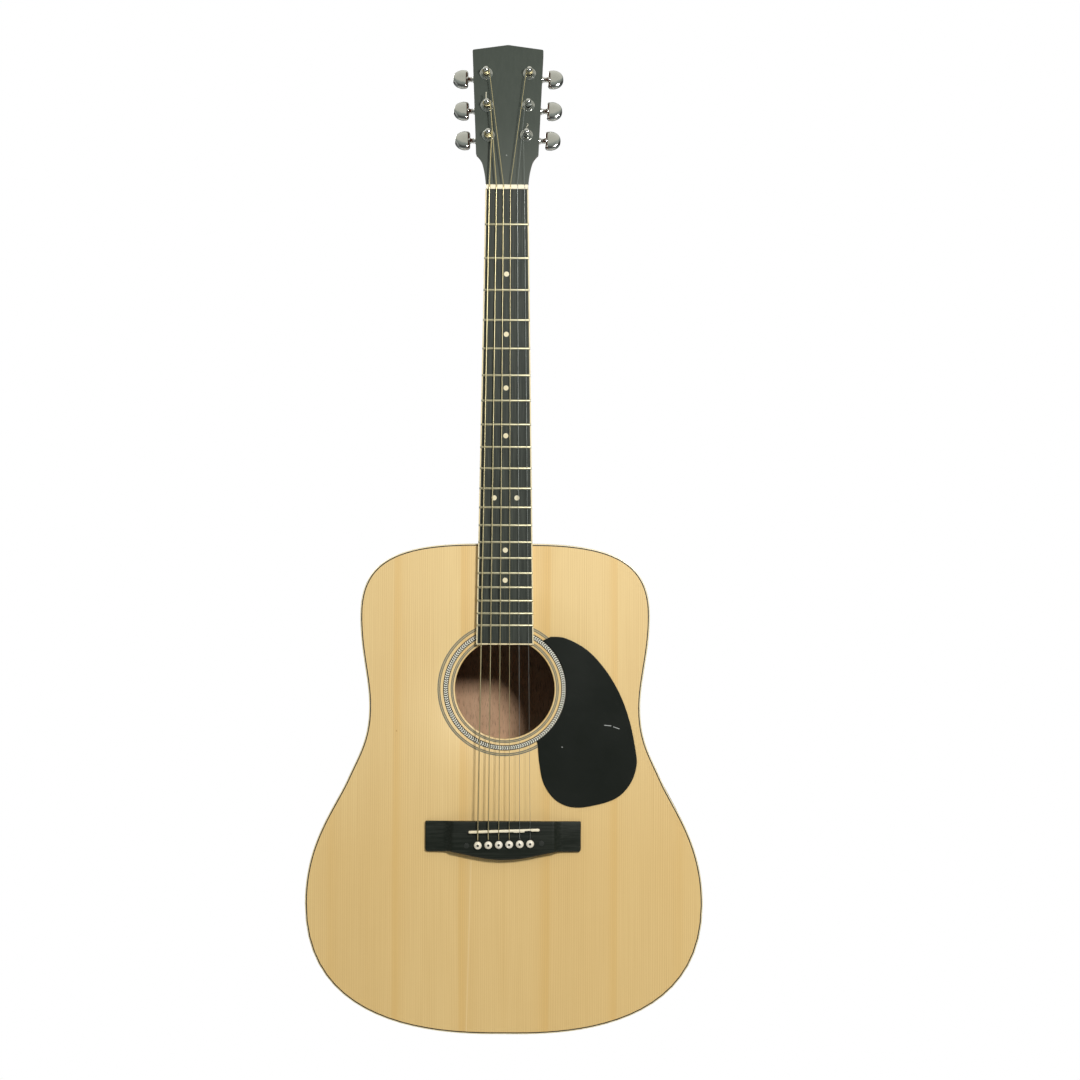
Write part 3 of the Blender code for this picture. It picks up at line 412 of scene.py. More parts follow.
def cream_plastic(name, colour, roughness=0.32):
    """Aged cream celluloid or bone, with slow yellowing and tiny scratches."""
    f = Finish(name, colour, roughness, coat=0.2)
    tone = f.noise(f.place, 30.0, 3.0)
    stain = f.noise(f.place, 240.0, 4.0)
    yellowed = tuple(c * k for c, k in zip(colour, (0.97, 0.93, 0.82)))
    aged = f.mix(f.ramp(tone, ((0.35, 0.0), (0.7, 1.0))), colour, yellowed)
    f.set("Base Color", f.mix(f.times(stain, 0.12), aged, (0.5, 0.38, 0.2)))
    f.set("Roughness", f.span(stain, 0.3, 0.7, roughness - 0.06, roughness + 0.1))
    f.bump(stain, 0.08, 0.03)
    return f.material


def black_plastic():
    """Satin pickguard plastic with a haze of fine strumming scratches."""
    f = Finish("pickguard_finish", (0.014, 0.016, 0.014), 0.32, specular=0.2)
    slanted = f.vector(x=f.math("ADD", f.x, f.z), z=f.times(f.math("SUBTRACT", f.x, f.z), 0.06))
    fans = f.noise(slanted, 900.0, 3.0, 0.7, 0.4)
    haze = f.noise(f.place, 18.0, 4.0)
    scratches = f.ramp(fans, ((0.60, 0.0), (0.72, 1.0)))
    base = f.mix(f.times(scratches, 0.10), (0.0085, 0.0108, 0.0086), (0.045, 0.047, 0.044))
    marks = [f.scratch(*mark) for mark in PICKGUARD_MARKS]
    worn = f.math("MAXIMUM", f.math("MAXIMUM", marks[0], marks[1]), marks[2])
    f.set("Base Color", f.mix(f.times(worn, 0.9), base, (0.62, 0.64, 0.64)))
    f.set("Roughness", f.math("ADD", f.span(haze, 0.3, 0.7, 0.30, 0.42), f.times(scratches, 0.15)))
    f.bump(scratches, 0.08, 0.02)
    return f.material


def metal(name, colour, roughness, grime=0.25):
    """Plated or drawn metal with faint tarnish and wear in its gloss."""
    f = Finish(name, colour, roughness, metallic=1.0)
    cloud = f.noise(f.place, 160.0, 4.0)
    smear = f.noise(f.place, 900.0, 3.0)
    dull = f.ramp(cloud, ((0.45, 0.0), (0.75, 1.0)))
    f.set("Base Color", f.mix(f.times(dull, grime), colour, tuple(c * 0.55 for c in colour)))
    f.set("Roughness", f.math("ADD", f.span(smear, 0.3, 0.7, roughness - 0.03, roughness + 0.05),
                              f.times(dull, 0.08)))
    f.bump(smear, 0.03, 0.02)
    return f.material


def wound_metal(name, colour, roughness):
    """Bronze wire wound round a string: ridges across its length, their grooves darkened as painted shade."""
    f = Finish(name, colour, roughness, metallic=1.0)
    turns = f.math("SINE", f.times(f.z, 2 * math.pi / (0.42 * MM)))
    ridge = f.span(turns, -1.0, 1.0)
    # Painted shade: the grooves between the turns are darkened to 0.8 of the colour.
    f.set("Base Color", f.mix(ridge, tuple(c * 0.8 for c in colour), colour))
    f.bump(ridge, 0.15, 0.03)
    return f.material


def plain(name, colour, roughness):
    """A small dark or pale part with a little unevenness."""
    f = Finish(name, colour, roughness)
    cloud = f.noise(f.place, 400.0, 3.0)
    darker, paler = tuple(c * 0.8 for c in colour), tuple(min(1.0, c * 1.15) for c in colour)
    f.set("Base Color", f.mix(cloud, darker, paler))
    f.set("Roughness", f.span(cloud, 0.3, 0.7, roughness - 0.05, roughness + 0.08))
    return f.material


SPRUCE = spruce()
BARE_SPRUCE = end_grain_spruce()
BODY_WOOD = mahogany("mahogany_finish", (0.13, 0.036, 0.016), (0.25, 0.085, 0.036), 0.34, 0.5)
NECK_WOOD = mahogany("neck_finish", (0.12, 0.037, 0.017), (0.21, 0.075, 0.034), 0.42, 0.15)
# Painted shade: the sides' inner faces get a darker copy of the bare mahogany, standing for the shade inside
# the body.
SHADED_INNER_SIDE_WOOD = mahogany("inner_side_painted_shade_finish", (0.26, 0.14, 0.08), (0.32, 0.18, 0.11), 0.8, 0.0)
INNER_WOOD = mahogany("bare_mahogany_finish", (0.60, 0.36, 0.22), (0.70, 0.46, 0.30), 0.8, 0.0)
BOARD_WOOD = black_wood("fingerboard_finish", (0.021, 0.026, 0.021), (0.060, 0.068, 0.056), 0.48, 0.25)
BRIDGE_WOOD = black_wood("bridge_finish", (0.0085, 0.0114, 0.0082), (0.026, 0.030, 0.024), 0.42, 0.2,
                         along_x=True)
PLUG = plain("bridge_plug_finish", (0.014, 0.017, 0.0135), 0.42)
VENEER = headstock_black_painted_light()
CREAM = cream_plastic("binding_finish", (0.84, 0.74, 0.50))
BONE = cream_plastic("bone_finish", (0.86, 0.80, 0.64), 0.4)
DOT = cream_plastic("dot_finish", (0.80, 0.74, 0.55), 0.3)
PIN_WHITE = cream_plastic("pin_finish", (0.86, 0.83, 0.76), 0.25)
BLACK_LINE = plain("black_line_finish", (0.016, 0.014, 0.012), 0.4)
GREY_LINE = plain("grey_line_finish", (0.150, 0.152, 0.125), 0.4)
TAN_LINE = plain("tan_line_finish", (0.42, 0.35, 0.20), 0.4)
PALE_LINE = plain("pale_line_finish", (0.66, 0.58, 0.42), 0.4)
CHECK_LINE = plain("check_line_finish", (0.86, 0.86, 0.76), 0.4)
GUARD = black_plastic()
CHROME = metal("chrome_finish", (0.68, 0.69, 0.65), 0.07, 0.08)
FRET_METAL = metal("fret_finish", (0.62, 0.58, 0.40), 0.42)
STEEL = metal("plain_string_finish", (0.42, 0.45, 0.44), 0.36)
BRONZE = wound_metal("wound_string_finish", (0.74, 0.65, 0.38), 0.38)
TAIL_METAL = metal("string_tail_finish", (0.92, 0.88, 0.72), 0.5)
BRASS = metal("brass_finish", (0.72, 0.50, 0.22), 0.3)


# Mesh helpers -----------------------------------------------------------------------------------

def piece(name, shape, material, body=ROOT, replaces=(), smooth=35.0, bevel=0.0, second=None):
    """A finished object from points in millimetres, riding on its body.

    second is another material and the test that says which faces get it.
    """
    points, faces = shape
    mesh = bpy.data.meshes.new(name)
    mesh.from_pydata([tuple(Vector(p) * MM) for p in points], [], faces)
    mesh.validate()
    grid = bmesh.new()
    grid.from_mesh(mesh)
    bmesh.ops.recalc_face_normals(grid, faces=grid.faces)
    grid.to_mesh(mesh)
    grid.free()
    mesh.materials.append(material)
    if second:
        mesh.materials.append(second[0])
        for face in mesh.polygons:
            if second[1](face.center / MM, face.normal):
                face.material_index = 1
    mesh.shade_smooth()
    mesh.set_sharp_from_angle(angle=math.radians(smooth))
    obj = bpy.data.objects.new(name, mesh)
    bpy.context.scene.collection.objects.link(obj)
    if bevel:
        modifier = obj.modifiers.new("bevel", "BEVEL")
        modifier.width = bevel * MM
        modifier.segments = 3
        modifier.limit_method = "ANGLE"
        modifier.angle_limit = math.radians(40)
    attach(obj, body)
    if replaces:
        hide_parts(*replaces)
    return obj


def loft(sections, closed=False):
    """Points and faces of a tube through sections with the same number of points."""
    count = len(sections[0])
    points = [p for section in sections for p in section]
    faces = []
    spans = len(sections) if closed else len(sections) - 1
    for i in range(spans):
        low, high = i * count, ((i + 1) % len(sections)) * count
        for j in range(count):
            k = (j + 1) % count
            faces.append((low + j, low + k, high + k, high + j))
    if not closed:
        faces.append(tuple(range(count)))
        faces.append(tuple(range(len(points) - 1, len(points) - 1 - count, -1)))
    return points, faces


def joined(shapes):
    """Several shapes as one list of points and one of faces."""
    points, faces = [], []
    for some_points, some_faces in shapes:
        faces += [tuple(i + len(points) for i in face) for face in some_faces]
        points += some_points
    return points, faces


def circle(x, z, radius, sides):
    turn = 2 * math.pi / sides
    return [(x + radius * math.cos(i * turn), z + radius * math.sin(i * turn)) for i in range(sides)]


def prism(outline, front, back, round_off=0.0):
    """An (x, z) outline extruded along y, its front edge rounded off by moving it inwards in steps."""
    sections = []
    if round_off:
        sections.append([(x, front, z) for x, z in shrunk(outline, round_off + 0.35)])
        for step in range(4):
            angle = math.pi / 2 * step / 3
            inset = round_off * (1 - math.sin(angle))
            depth = front + (back - front) / abs(back - front) * round_off * (1 - math.cos(angle))
            sections.append([(x, depth, z) for x, z in shrunk(outline, inset)])
    else:
        sections.append([(x, front, z) for x, z in outline])
    sections.append([(x, back, z) for x, z in outline])
    return loft(sections)


def shrunk(outline, inset):
    """A closed outline moved inwards."""
    area = sum(a[0] * b[1] - b[0] * a[1] for a, b in zip(outline, outline[1:] + outline[:1]))
    sign = 1.0 if area > 0 else -1.0
    moved = []
    for i, point in enumerate(outline):
        before, after = outline[i - 1], outline[(i + 1) % len(outline)]
        along = Vector((after[0] - before[0], after[1] - before[1])).normalized() * sign
        moved.append((point[0] - along.y * inset, point[1] + along.x * inset))
    return moved


def turned(profile, place, sides=32, hollow=False):
    """A profile of (radius, height) turned round a local axis. hollow closes the profile on itself."""
    turn = 2 * math.pi / sides
    if hollow:
        loops = [[place(r * math.cos(i * turn), r * math.sin(i * turn), h) for r, h in profile]
                 for i in range(sides)]
        return loft(loops, closed=True)
    rings = [[place(r * math.cos(i * turn), r * math.sin(i * turn), h) for i in range(sides)]
             for r, h in profile]
    return loft(rings)


def tube(path, radii, sides=10):
    """A round bar along a path; radii is one number, or one for each point."""
    path = [Vector(p) for p in path]
    if not isinstance(radii, (list, tuple)):
        radii = [radii] * len(path)
    sections = []
    side = None
    turn = 2 * math.pi / sides
    for i, point in enumerate(path):
        ahead = (path[min(i + 1, len(path) - 1)] - point).normalized()
        behind = (point - path[max(i - 1, 0)]).normalized()
        tangent = (ahead + behind).normalized()
        if side is None:
            side = tangent.orthogonal()
        side = (side - tangent * side.dot(tangent)).normalized()
        up = tangent.cross(side)
        sections.append([tuple(point + (side * math.cos(j * turn) + up * math.sin(j * turn)) * radii[i])
                         for j in range(sides)])
    return loft(sections)


def bezier(start, first, second, end, count):
    """Points of a cubic curve in a plane, without its start."""
    points = []
    for i in range(1, count + 1):
        t = i / count
        s = 1 - t
        weights = (s ** 3, 3 * s * s * t, 3 * s * t * t, t ** 3)
        corners = (start, first, second, end)
        points.append(tuple(sum(w * c[k] for w, c in zip(weights, corners)) for k in (0, 1)))
    return points


def spline(points, steps, cyclic=False):
    """A smooth curve through points."""
    count = len(points)
    result = []
    for i in range(count if cyclic else count - 1):
        if cyclic:
            a, b, c, d = (Vector(points[(i + k) % count]) for k in (-1, 0, 1, 2))
        else:
            a, b, c, d = (Vector(points[max(0, min(count - 1, i + k))]) for k in (-1, 0, 1, 2))
        for step in range(steps):
            t = step / steps
            result.append(tuple(0.5 * (
                2 * b + (c - a) * t + (2 * a - 5 * b + 4 * c - d) * t * t
                + (3 * b - a - 3 * c + d) * t ** 3)))
    if not cyclic:
        result.append(tuple(points[-1]))
    return result


# The body ---------------------------------------------------------------------------------------

def half_outline(inset=0.0, steps=22):
    """The treble half as (x, z), from the neck end to the tail, moved inwards."""
    points = [(0.0, 0.0), (14.0, 0.0), SHOULDER_START]
    for first, second, end in OUTLINE_CURVES:
        points += bezier(points[-1], first, second, end, steps)
    moved = []
    for i, (x, down) in enumerate(points):
        if i == 0 or i == len(points) - 1:
            normal = Vector((0.0, 1.0 if i == 0 else -1.0))
        else:
            before, after = points[i - 1], points[i + 1]
            along = Vector((after[0] - before[0], after[1] - before[1])).normalized()
            normal = Vector((-along.y, along.x))
        moved.append((x + normal.x * inset, BODY_TOP_Z - down - normal.y * inset))
    return moved


def whole_outline(inset=0.0):
    half = half_outline(inset)
    return half + [(-x, z) for x, z in reversed(half[1:-1])]


def back_y(x, z):
    """The outside of the domed back."""
    s = (BODY_TOP_Z - z) / BODY_LENGTH
    depth = DEPTH_AT_NECK + (DEPTH_AT_TAIL - DEPTH_AT_NECK) * s + BACK_RISE * s * (1 - s)
    return FACE_Y + depth - x * x / (2 * BACK_RADIUS)


def ring_strip(outer_inset, inner_inset, front, back, round_off=0.0):
    """A closed ring along the body's outline, its outer corners rounded off."""
    outer = whole_outline(outer_inset)
    soft = whole_outline(outer_inset + 0.3 * round_off)
    softer = whole_outline(outer_inset + round_off)
    inner = whole_outline(inner_inset)
    sections = []
    for o, s, r, n in zip(outer, soft, softer, inner):
        low, high = front(*o), back(*o)
        if round_off:
            sections.append([
                (n[0], low, n[1]), (r[0], low, r[1]), (s[0], low + 0.3 * round_off, s[1]),
                (o[0], low + round_off, o[1]), (o[0], high - round_off, o[1]),
                (s[0], high - 0.3 * round_off, s[1]), (r[0], high, r[1]), (n[0], high, n[1])])
        else:
            sections.append([(n[0], low, n[1]), (o[0], low, o[1]), (o[0], high, o[1]), (n[0], high, n[1])])
    return loft(sections, closed=True)


def build_top():
    """The soundboard as one ring from the soundhole to the edge, with a softened hole edge."""
    edge = whole_outline(BINDING_WIDTH)
    count = len(edge)
    bearings = [math.atan2(z - SOUNDHOLE_Z, x) for x, z in edge]

    def hole(radius):
        return [(radius * math.cos(a), SOUNDHOLE_Z + radius * math.sin(a)) for a in bearings]

    back = FACE_Y + PLATE_THICKNESS
    rings = [(edge, back), (edge, FACE_Y), (hole(110), FACE_Y), (hole(SOUNDHOLE_RADIUS + 0.7), FACE_Y),
             (hole(SOUNDHOLE_RADIUS + 0.2), FACE_Y + 0.2), (hole(SOUNDHOLE_RADIUS), FACE_Y + 0.7),
             (hole(SOUNDHOLE_RADIUS), back)]
    sections = [[(ring[i][0], y, ring[i][1]) for ring, y in rings] for i in range(count)]
    piece("top_plate", loft(sections, closed=True), SPRUCE, replaces=["soundboard"])


def build_bindings():
    piece("top_edge_binding",
          ring_strip(0.0, BINDING_WIDTH - 0.02, lambda x, z: FACE_Y - 0.05,
                     lambda x, z: FACE_Y + BINDING_DEPTH, 0.5),
          CREAM, replaces=["top_binding"])
    piece("top_purfling",
          ring_strip(PURFLING_START, PURFLING_START + PURFLING_WIDTH, lambda x, z: FACE_Y - 0.1,
                     lambda x, z: FACE_Y + 0.5), BLACK_LINE)
    piece("back_edge_binding",
          ring_strip(0.0, BINDING_WIDTH - 0.02, lambda x, z: back_y(x, z) - BINDING_DEPTH,
                     lambda x, z: back_y(x, z) + 0.05, 0.5),
          CREAM, replaces=["back_binding"])
    piece("side_purfling_front",
          ring_strip(-0.03, 0.5, lambda x, z: FACE_Y + BINDING_DEPTH,
                     lambda x, z: FACE_Y + BINDING_DEPTH + 0.8), BLACK_LINE)
    piece("side_purfling_back",
          ring_strip(-0.03, 0.5, lambda x, z: back_y(x, z) - BINDING_DEPTH - 0.8,
                     lambda x, z: back_y(x, z) - BINDING_DEPTH), BLACK_LINE)


def build_sides():
    outer, inner = half_outline(), half_outline(SIDE_THICKNESS)
    for path in (outer, inner):
        path[0] = (14.0, path[0][1])
        del path[1]
        path[-1] = (0.04, path[-1][1])
    middle = (BODY_TOP_Z + BODY_TAIL_Z) / 2

    def faces_in(centre, normal):
        near_ends = abs(centre.x) < 60
        return normal.x * centre.x < 0 or near_ends and normal.z * (centre.z - middle) < 0

    for name, sign in (("treble", 1), ("bass", -1)):
        sections = []
        for (x, z), (u, w) in zip(outer, inner):
            front, back = FACE_Y + BINDING_DEPTH, back_y(x, z) - BINDING_DEPTH
            sections.append([(sign * x, front, z), (sign * x, back, z),
                             (sign * u, back, w), (sign * u, front, w)])
        # The inner faces take the darker copy of the bare mahogany as painted shade.
        piece(name + "_side_shell", loft(sections), BODY_WOOD,
              replaces=[name + "_side"], second=(SHADED_INNER_SIDE_WOOD, faces_in))


def build_back():
    """The domed back, with a thin marquetry strip down its middle."""
    half = half_outline(BINDING_WIDTH)[2:]
    half[-1] = (5.0, half[-1][1])
    columns = [-1, -0.97, -0.85, -0.7, -0.5, -0.3, -0.15, 0, 0.15, 0.3, 0.5, 0.7, 0.85, 0.97, 1]
    sections = []
    for x, z in half:
        inside = [(x * c, back_y(x * c, z) - PLATE_THICKNESS, z) for c in columns]
        outside = [(x * c, back_y(x * c, z), z) for c in reversed(columns)]
        sections.append(inside + outside)
    points, faces = loft(sections)
    faces = faces[:-2]
    count = 2 * len(columns)
    for start in (0, len(points) - count):
        for j in range(len(columns) - 1):
            faces.append((start + j, start + j + 1, start + count - 2 - j, start + count - 1 - j))
    piece("back_shell", (points, faces), BODY_WOOD, replaces=["back_plate"],
          second=(INNER_WOOD, lambda centre, normal: normal.y < -0.5))
    for name, low, high, material in (("back_strip_pale", -1.2, 1.2, PALE_LINE),
                                      ("back_strip_left", -2.0, -1.22, BLACK_LINE),
                                      ("back_strip_right", 1.22, 2.0, BLACK_LINE)):
        sections = []
        for step in range(41):
            z = BODY_TOP_Z - BINDING_WIDTH - 0.1 - (BODY_LENGTH - 2 * BINDING_WIDTH - 0.2) * step / 40
            y = back_y(0, z)
            sections.append([(low, y - 0.5, z), (high, y - 0.5, z), (high, y + 0.04, z), (low, y + 0.04, z)])
        piece(name, loft(sections), material)


def flat_ring(inner, outer, front, back, sides=160):
    """A flat ring round the soundhole."""
    sections = []
    for (x, z), (u, w) in zip(circle(0, SOUNDHOLE_Z, inner, sides), circle(0, SOUNDHOLE_Z, outer, sides)):
        sections.append([(x, front, z), (x, back, z), (u, back, w), (u, front, w)])
    return loft(sections, closed=True)


def rope_ring(inner, outer, front, back, teeth, skew, odd):
    """Every other slanted block of a rope pattern."""
    shapes = []
    for i in range(teeth):
        if i % 2 != odd:
            continue
        corners = []
        for radius, shift in ((inner, 0.0), (outer, skew)):
            for end in (0, 1):
                angle = 2 * math.pi * (i + end + shift) / teeth
                corners.append((radius * math.cos(angle), SOUNDHOLE_Z + radius * math.sin(angle)))
        a, b, c, d = corners
        shapes.append(prism([a, b, d, c], front, back))
    return joined(shapes)


def build_rosette():
    """Three groups of rings: fine grey lines, a black and white rope between black lines, grey lines."""
    front, back = FACE_Y - 0.04, FACE_Y + 0.6
    lines = (
        ("grey_a", 52.3, 53.2, GREY_LINE), ("tan_a", 53.25, 54.0, TAN_LINE),
        ("grey_b", 54.05, 54.9, GREY_LINE), ("black_a", 57.3, 58.1, BLACK_LINE),
        ("black_b", 59.83, 60.07, BLACK_LINE), ("black_c", 61.8, 62.6, BLACK_LINE),
        ("grey_c", 65.4, 66.3, GREY_LINE), ("tan_b", 66.35, 67.3, TAN_LINE),
        ("grey_d", 67.35, 68.3, GREY_LINE),
    )
    for i, (name, inner, outer, material) in enumerate(lines):
        piece("rosette_" + name, flat_ring(inner, outer, front, back), material,
              replaces=["rosette"] if i == 0 else ())
    rows = ((58.15, 59.8, 0.9), (60.1, 61.75, -0.9))
    for odd, name, material in ((0, "dark", BLACK_LINE), (1, "light", CHECK_LINE)):
        shapes = [rope_ring(inner, outer, front, back, ROPE_TEETH, skew, (odd + i) % 2)
                  for i, (inner, outer, skew) in enumerate(rows)]
        piece("rosette_rope_" + name, joined(shapes), material)


def build_pickguard():
    """A thin sheet with rounded edges, its inner edge following the rosette."""
    curve = spline(PICKGUARD_POINTS, 8)
    radius, start, sweep = PICKGUARD_ARC
    arc = [math.radians(start + sweep * i / 40) for i in range(41)]
    curve += [(radius * math.cos(a), radius * math.sin(a)) for a in arc]
    outline = [(x, SOUNDHOLE_Z + z) for x, z in curve]
    piece("pickguard_sheet", prism(outline, FACE_Y - 1.0, FACE_Y - 0.05, 0.35), GUARD,
          replaces=["pickguard"])


def build_insides():
    """The parts inside are shown as they are, in their own wood and metal."""
    wooden = ("top_lining", "back_lining", "neck_block", "tail_block", "top_braces", "back_braces",
              "bridge_plate")
    for node, material in [(node, BARE_SPRUCE) for node in wooden] + [("truss_rod", STEEL),
                                                                      ("truss_rod_nut", BRASS)]:
        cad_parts[node].data.materials.clear()
        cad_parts[node].data.materials.append(material)


def build_end_pin():
    low, high = box_mm("end_pin")
    axis_y = (low.y + high.y) / 2
    tail = BODY_TAIL_Z

    def place(across, along, up):
        return (across, axis_y + along, tail + up)

    profile = ((4.6, 26.0), (4.9, 3.0), (4.9, 0.0), (7.3, 0.0), (7.6, -0.3), (7.6, -1.2), (7.0, -1.7),
               (5.2, -2.2), (4.4, -3.0), (4.2, -4.2), (4.6, -5.4), (6.0, -6.5), (7.2, -7.2), (7.4, -7.8),
               (7.1, -8.6), (6.2, -9.2), (4.5, -9.6), (0.5, -9.6))
    piece("strap_pin", turned(profile, place, 40), PIN_WHITE, replaces=["end_pin"])


# The bridge -------------------------------------------------------------------------------------

def bridge_height(x):
    """How far the bridge stands out of the top: full in the middle, scooped down to thin wings."""
    full = BRIDGE_HIGH.y - BRIDGE_LOW.y
    x = abs(x)
    if x <= BRIDGE_RAISED_HALF:
        return full
    tall, thin = WING_HEIGHTS
    run = min(1.0, (x - BRIDGE_RAISED_HALF) / 10)
    scoop = full - (full - tall) * math.sin(run * math.pi / 2)
    return scoop - (tall - thin) * max(0.0, (x - BRIDGE_RAISED_HALF - 10) / 17.3)


def bridge_bottom(x):
    """The bridge's lower edge, with its belly."""
    belly = max(0.0, math.cos(min(1.0, abs(x) / 56) * math.pi / 2)) ** 1.3
    return BRIDGE_WING_Z - (BRIDGE_WING_Z - BRIDGE_LOW.z) * belly


def build_bridge():
    base, half = FACE_Y - 0.02, BRIDGE_HALF
    near_end = (2.8, 2.2, 1.6, 1.1, 0.6, 0.25, 0.0)
    stations = [BRIDGE_RAISED_HALF + 24.5 * i / 36 for i in range(1, 36)] + [half - back for back in near_end]
    stations += [BRIDGE_RAISED_HALF * i / 24 for i in range(1, 25)]
    stations = sorted(stations)
    stations = [-x for x in reversed(stations)] + [0.0] + stations

    def nip(x, radius):
        end = max(0.0, radius - (half - abs(x)))
        return radius - math.sqrt(max(0.0, radius ** 2 - end ** 2))

    sections = []
    for x in stations:
        rise = bridge_height(x) - nip(x, 1.0) * 0.5
        high, low = BRIDGE_HIGH.z - nip(x, 1.0), bridge_bottom(x) + nip(x, 2.6)
        corner = min(1.2, rise * 0.35)
        belly = min(3.2, rise * 0.45)
        section = [(base, high)]
        for step in range(5):
            angle = math.pi / 2 * step / 4
            section.append((base - rise + corner * (1 - math.sin(angle)),
                            high - corner * (1 - math.cos(angle))))
        for step in range(7):
            angle = math.pi / 2 * (1 - step / 6)
            section.append((base - rise + belly * (1 - math.sin(angle)), low + belly * (1 - math.cos(angle))))
        section.append((base, low))
        sections.append([(x + BRIDGE_SHIFT, y, z) for y, z in section])
    piece("bridge_body", loft(sections), BRIDGE_WOOD, replaces=["bridge"], smooth=50)
    top = BRIDGE_LOW.y
    for name, sign in (("bass", -1), ("treble", 1)):
        x = sign * PLUG_X
        z = PIN_Z + SADDLE_SLANT * x
        cap = turned(((2.7, -0.5), (2.7, 0.03), (2.5, 0.06), (0.3, 0.03)),
                     lambda a, b, out, x=x, z=z: (x + a, top - out, z + b), 28)
        piece("bridge_plug_" + name, cap, PLUG)
    long = (SADDLE_HIGH.x - SADDLE_LOW.x) / 2 + 1.6
    around = stadium(long, 1.75, 12)
    slot = prism([(x, SADDLE_Z + SADDLE_SLANT * x + z) for x, z in around], top - 0.05, top + 0.4)
    piece("saddle_slot", slot, BLACK_LINE)


def stadium(half_length, radius, steps):
    """A rounded bar's outline about the origin."""
    points = []
    for sign, start in ((1, -90), (-1, 90)):
        for step in range(steps + 1):
            angle = math.radians(start + 180 * step / steps)
            points.append((sign * (half_length - radius) + radius * math.cos(angle),
                           radius * math.sin(angle)))
    return points


def build_saddle():
    """A bone strip leaning with its slot, with round ends, a rounded top and a step for the thin strings."""
    half_length = (SADDLE_HIGH.x - SADDLE_LOW.x) / 2
    half_thick = SADDLE_HALF_THICK
    stations = [half_length - back for back in (0.0, 0.1, 0.35, 0.8, 1.4)]
    along = [-30, -20, -10, 0, 9.4, 10.0, 15, 20.6, 21.2, 27.4, 28.0]
    stations = sorted(stations + [-x for x in stations] + along)
    sections = []
    for x in stations:
        end = max(0.0, half_thick - (half_length - abs(x)))
        thick = max(0.12, math.sqrt(max(0.0, half_thick ** 2 - end ** 2)))
        drop = 0.9 * (end / half_thick) ** 2
        z = SADDLE_Z + SADDLE_SLANT * x
        shelf = 0.55 if 10.0 <= x <= 20.6 else -0.95 if 21.2 <= x <= 27.4 else 0.0
        crown = SADDLE_LOW.y + drop
        section = [(x, SADDLE_HIGH.y, z - thick)]
        for step in range(9):
            angle = math.pi * step / 8
            across = thick * math.cos(angle)
            if across > 0:
                across += shelf * across / half_thick
            section.append((x, crown + 1.0 * (1 - math.sin(angle)), z - across))
        section.append((x, SADDLE_HIGH.y, z + thick))
        sections.append(section)
    piece("saddle_bone", loft(sections), BONE, replaces=["saddle"], smooth=50)


def pin_places():
    xs = [(i - 2.5) * BRIDGE_SPACING for i in range(6)]
    return [(x, PIN_Z + SADDLE_SLANT * x) for x in xs]


def build_bridge_pins():
    top = BRIDGE_LOW.y - 0.1
    profile = ((1.2, -25.0), (2.0, -23.0), (2.2, 0.0), (3.5, 0.0), (3.9, 0.25), (4.0, 0.9), (3.85, 1.7),
               (3.45, 2.3), (2.95, 2.65), (2.8, 2.6), (2.55, 3.0), (2.0, 3.35), (1.25, 3.6), (0.25, 3.65))
    for (name, *_), (x, z) in zip(TUNERS, pin_places()):
        def place(across, along, out):
            return (x + across, top - out, z + along)

        node = "bridge_pin_" + name
        piece(node + "_turned", turned(profile, place, 32), PIN_WHITE, body="pin_" + name,
              replaces=[node])
        dot = turned(((1.25, 3.0), (1.25, 3.72), (1.0, 3.78), (0.2, 3.8)), place, 24)
        piece(node + "_dot", dot, BLACK_LINE, body="pin_" + name)
        ramp = turned(((2.0, -1.0), (2.0, 0.07), (0.2, 0.07)),
                      lambda a, b, out: (x + a * 0.6, top + 0.1 - out, z + 4.6 + b), 20)
        piece("string_slot_" + name, ramp, BLACK_LINE)


# The neck ---------------------------------------------------------------------------------------

def on_headstock(x, along, out):
    """A point from its place on the tilted headstock: across, up from the nut, and out of the face."""
    y = HEAD_FACE_Y + along * math.sin(HEAD_TILT) - out * math.cos(HEAD_TILT)
    z = NUT_Z + along * math.cos(HEAD_TILT) + out * math.sin(HEAD_TILT)
    return (x, y, z)


def board_half_width(z):
    start, end = BOARD_HALF_WIDTHS
    return start + (end - start) * (NUT_Z - z) / (NUT_Z - BOARD_LOW.z)


def fret_z(number):
    return NUT_Z + FIRST_FRET_SHIFT - SCALE_LENGTH * (1 - 2 ** (-number / 12))


def head_outline(inset, out):
    """The headstock's outline at a depth, its corners eased and its flare cut back towards the rear."""
    carve = -out / HEAD_BACK * THROAT_CARVE
    flare = [HEAD_OUTLINE[0]] + spline(HEAD_OUTLINE[1:7], 4) + [HEAD_OUTLINE[7]]
    right = [(x, u + carve) for x, u in flare] + [HEAD_OUTLINE[8]]
    x, u = HEAD_OUTLINE[8]
    right += [(x - 0.15, u + 0.7), (x - 0.6, u + 1.25), HEAD_OUTLINE[9]]
    right += [(5.0, 157.2), (2.0, 157.7), (0.0, 157.85)]
    outline = right + [(-x, u) for x, u in reversed(right[:-1])]
    return shrunk(outline, inset)


def slab(near, far, round_off):
    """A plate with the headstock's outline between two depths below its face, its edges rounded off."""
    sections = []
    flat, eased = round_off + 0.35, 0.3 * round_off
    for out, inset in ((near, flat), (near, round_off), (near - eased, eased), (near - round_off, 0.0),
                       (far + round_off, 0.0), (far + eased, eased), (far, round_off), (far, flat)):
        sections.append([on_headstock(x, u, out) for x, u in head_outline(inset, out)])
    return loft(sections)


def neck_section(z, half_width, front, depth):
    """Half a rounded D behind the fingerboard, cut off flat at the heel cap."""
    section = []
    for i in range(33):
        angle = math.pi * i / 32
        c, s = math.cos(angle), max(0.0, math.sin(angle))
        x = half_width * math.copysign(abs(c) ** 0.9, c)
        section.append((x, min(front + depth * s ** 0.9, HEEL_CAP_Y), z))
    return section


